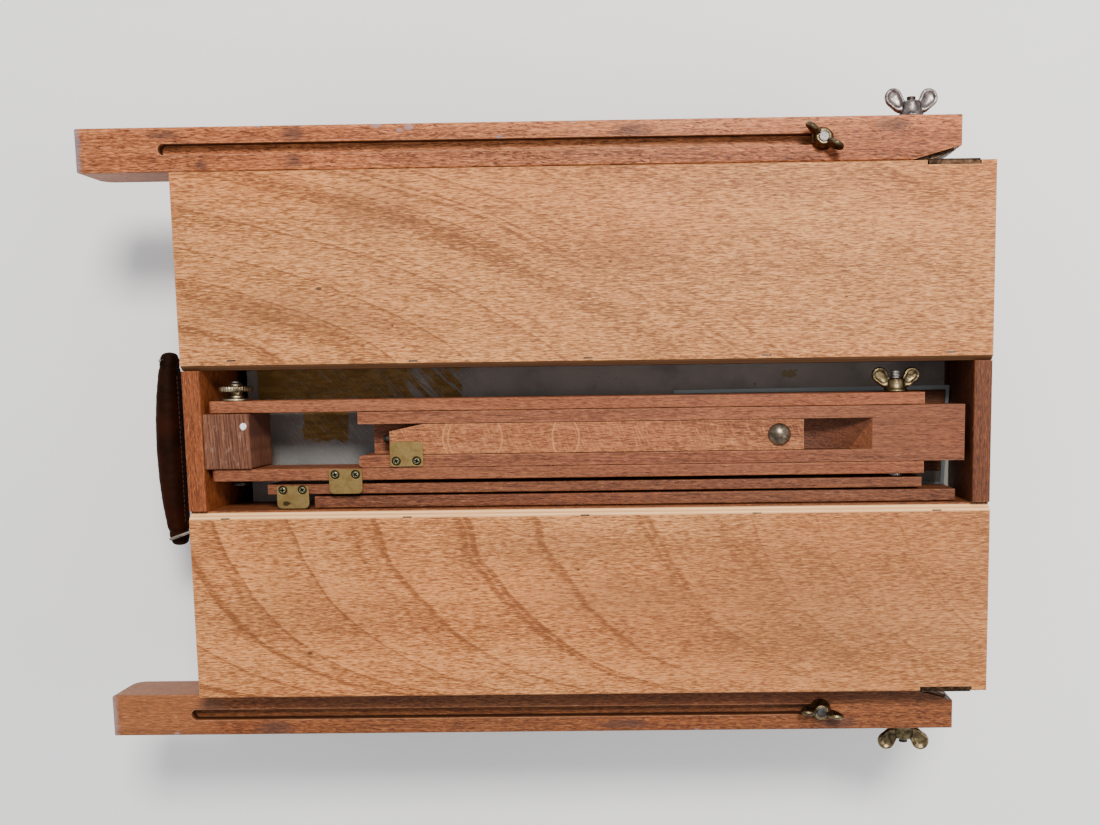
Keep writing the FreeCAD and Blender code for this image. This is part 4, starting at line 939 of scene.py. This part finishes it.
def waxed_thread():
    """Brown twisted thread, greyed by handling."""
    s = Shader("waxed_thread", rough=0.6, specular=0.2)
    twist = s.grain(s.pos, (2600.0, 1500.0, 2600.0), 2.0, 0.5)
    dirt = s.noise(s.pos, 60.0, 2.0, 0.5)
    colour = s.mix(s.ramp(twist, 0.35, 0.65), tone(44, 26, 16), tone(66, 42, 26))
    colour = s.mix(s.ramp(dirt, 0.5, 0.7), colour, tone(48, 32, 22))
    return s.surface(colour, None, s.bump(twist, 0.0001, 0.6))


grip_stitches(*leather_grip())

# ---------------------------------------------------------------- floor, light, camera

def plane(name, size, centre, material):
    mesh = bpy.data.meshes.new(name)
    h = size / 2.0
    mesh.from_pydata([(-h, -h, 0), (h, -h, 0), (h, h, 0), (-h, h, 0)], [], [(0, 1, 2, 3)])
    obj = bpy.data.objects.new(name, mesh)
    bpy.context.scene.collection.objects.link(obj)
    obj.location = centre
    mesh.materials.append(material)
    return obj


def floor_paint():
    s = Shader("pale_floor", rough=0.8, specular=0.2)
    cloud = s.noise(s.pos, 3.0, 3.0, 0.5)
    return s.surface(s.mix(s.ramp(cloud, 0.3, 0.7), (0.92, 0.92, 0.92, 1.0), (0.95, 0.95, 0.95, 1.0)))


plane("floor", 12.0, (0, 0, -0.0005), floor_paint())


def area_light(name, place, target, size, power, colour):
    data = bpy.data.lights.new(name, "AREA")
    data.shape = "RECTANGLE"
    data.size, data.size_y = size
    data.energy = power
    data.color = colour
    obj = bpy.data.objects.new(name, data)
    bpy.context.scene.collection.objects.link(obj)
    obj.location = place
    obj.rotation_euler = (Vector(target) - Vector(place)).to_track_quat("-Z", "Y").to_euler()
    return obj


world = bpy.data.worlds.new("studio")
bpy.context.scene.world = world
world.use_nodes = True
world.node_tree.nodes["Background"].inputs["Color"].default_value = (0.97, 0.98, 1.0, 1.0)
world.node_tree.nodes["Background"].inputs["Strength"].default_value = 0.72
area_light("key", (0.35, 1.05, 2.0), (0.0, 0.0, 0.1), (0.55, 0.45), 62.0, (1.0, 0.96, 0.91))
area_light("fill", (1.3, -0.2, 1.3), (0.0, 0.0, 0.1), (0.8, 0.8), 9.0, (1.0, 0.98, 0.95))


SENSOR_MM, LENS_MM = 36.0, 36.42545
FRAME_SHIFT = (-0.0831091, 0.0764545)
# rotation vector in radians, and the centre of the underside seen from the lens, in metres
CAMERA_TURN = (0.1108, 0.0126, -0.0130)
CAMERA_OFFSET = (-0.0369822, -0.0399587, 0.7438968)
UNDERSIDE_CENTRE = (0.027, 0.0, 0.165)


def photo_camera():
    """Camera looking straight down on the box, a little from the right, with the frame shifted to suit."""
    turn = Vector(CAMERA_TURN)
    rot = Matrix.Rotation(turn.length, 3, turn.normalized()) @ Matrix.Diagonal((1.0, -1.0, -1.0))
    centre = Vector(UNDERSIDE_CENTRE) - rot.transposed() @ Vector(CAMERA_OFFSET)
    basis = rot.transposed() @ Matrix.Diagonal((1.0, -1.0, -1.0))
    data = bpy.data.cameras.new("camera")
    data.sensor_fit = "HORIZONTAL"
    data.sensor_width = SENSOR_MM
    data.lens = LENS_MM
    data.shift_x, data.shift_y = FRAME_SHIFT
    data.clip_start = 0.02
    obj = bpy.data.objects.new("camera", data)
    bpy.context.scene.collection.objects.link(obj)
    obj.matrix_world = Matrix.Translation(centre) @ basis.to_4x4()
    bpy.context.scene.camera = obj


photo_camera()
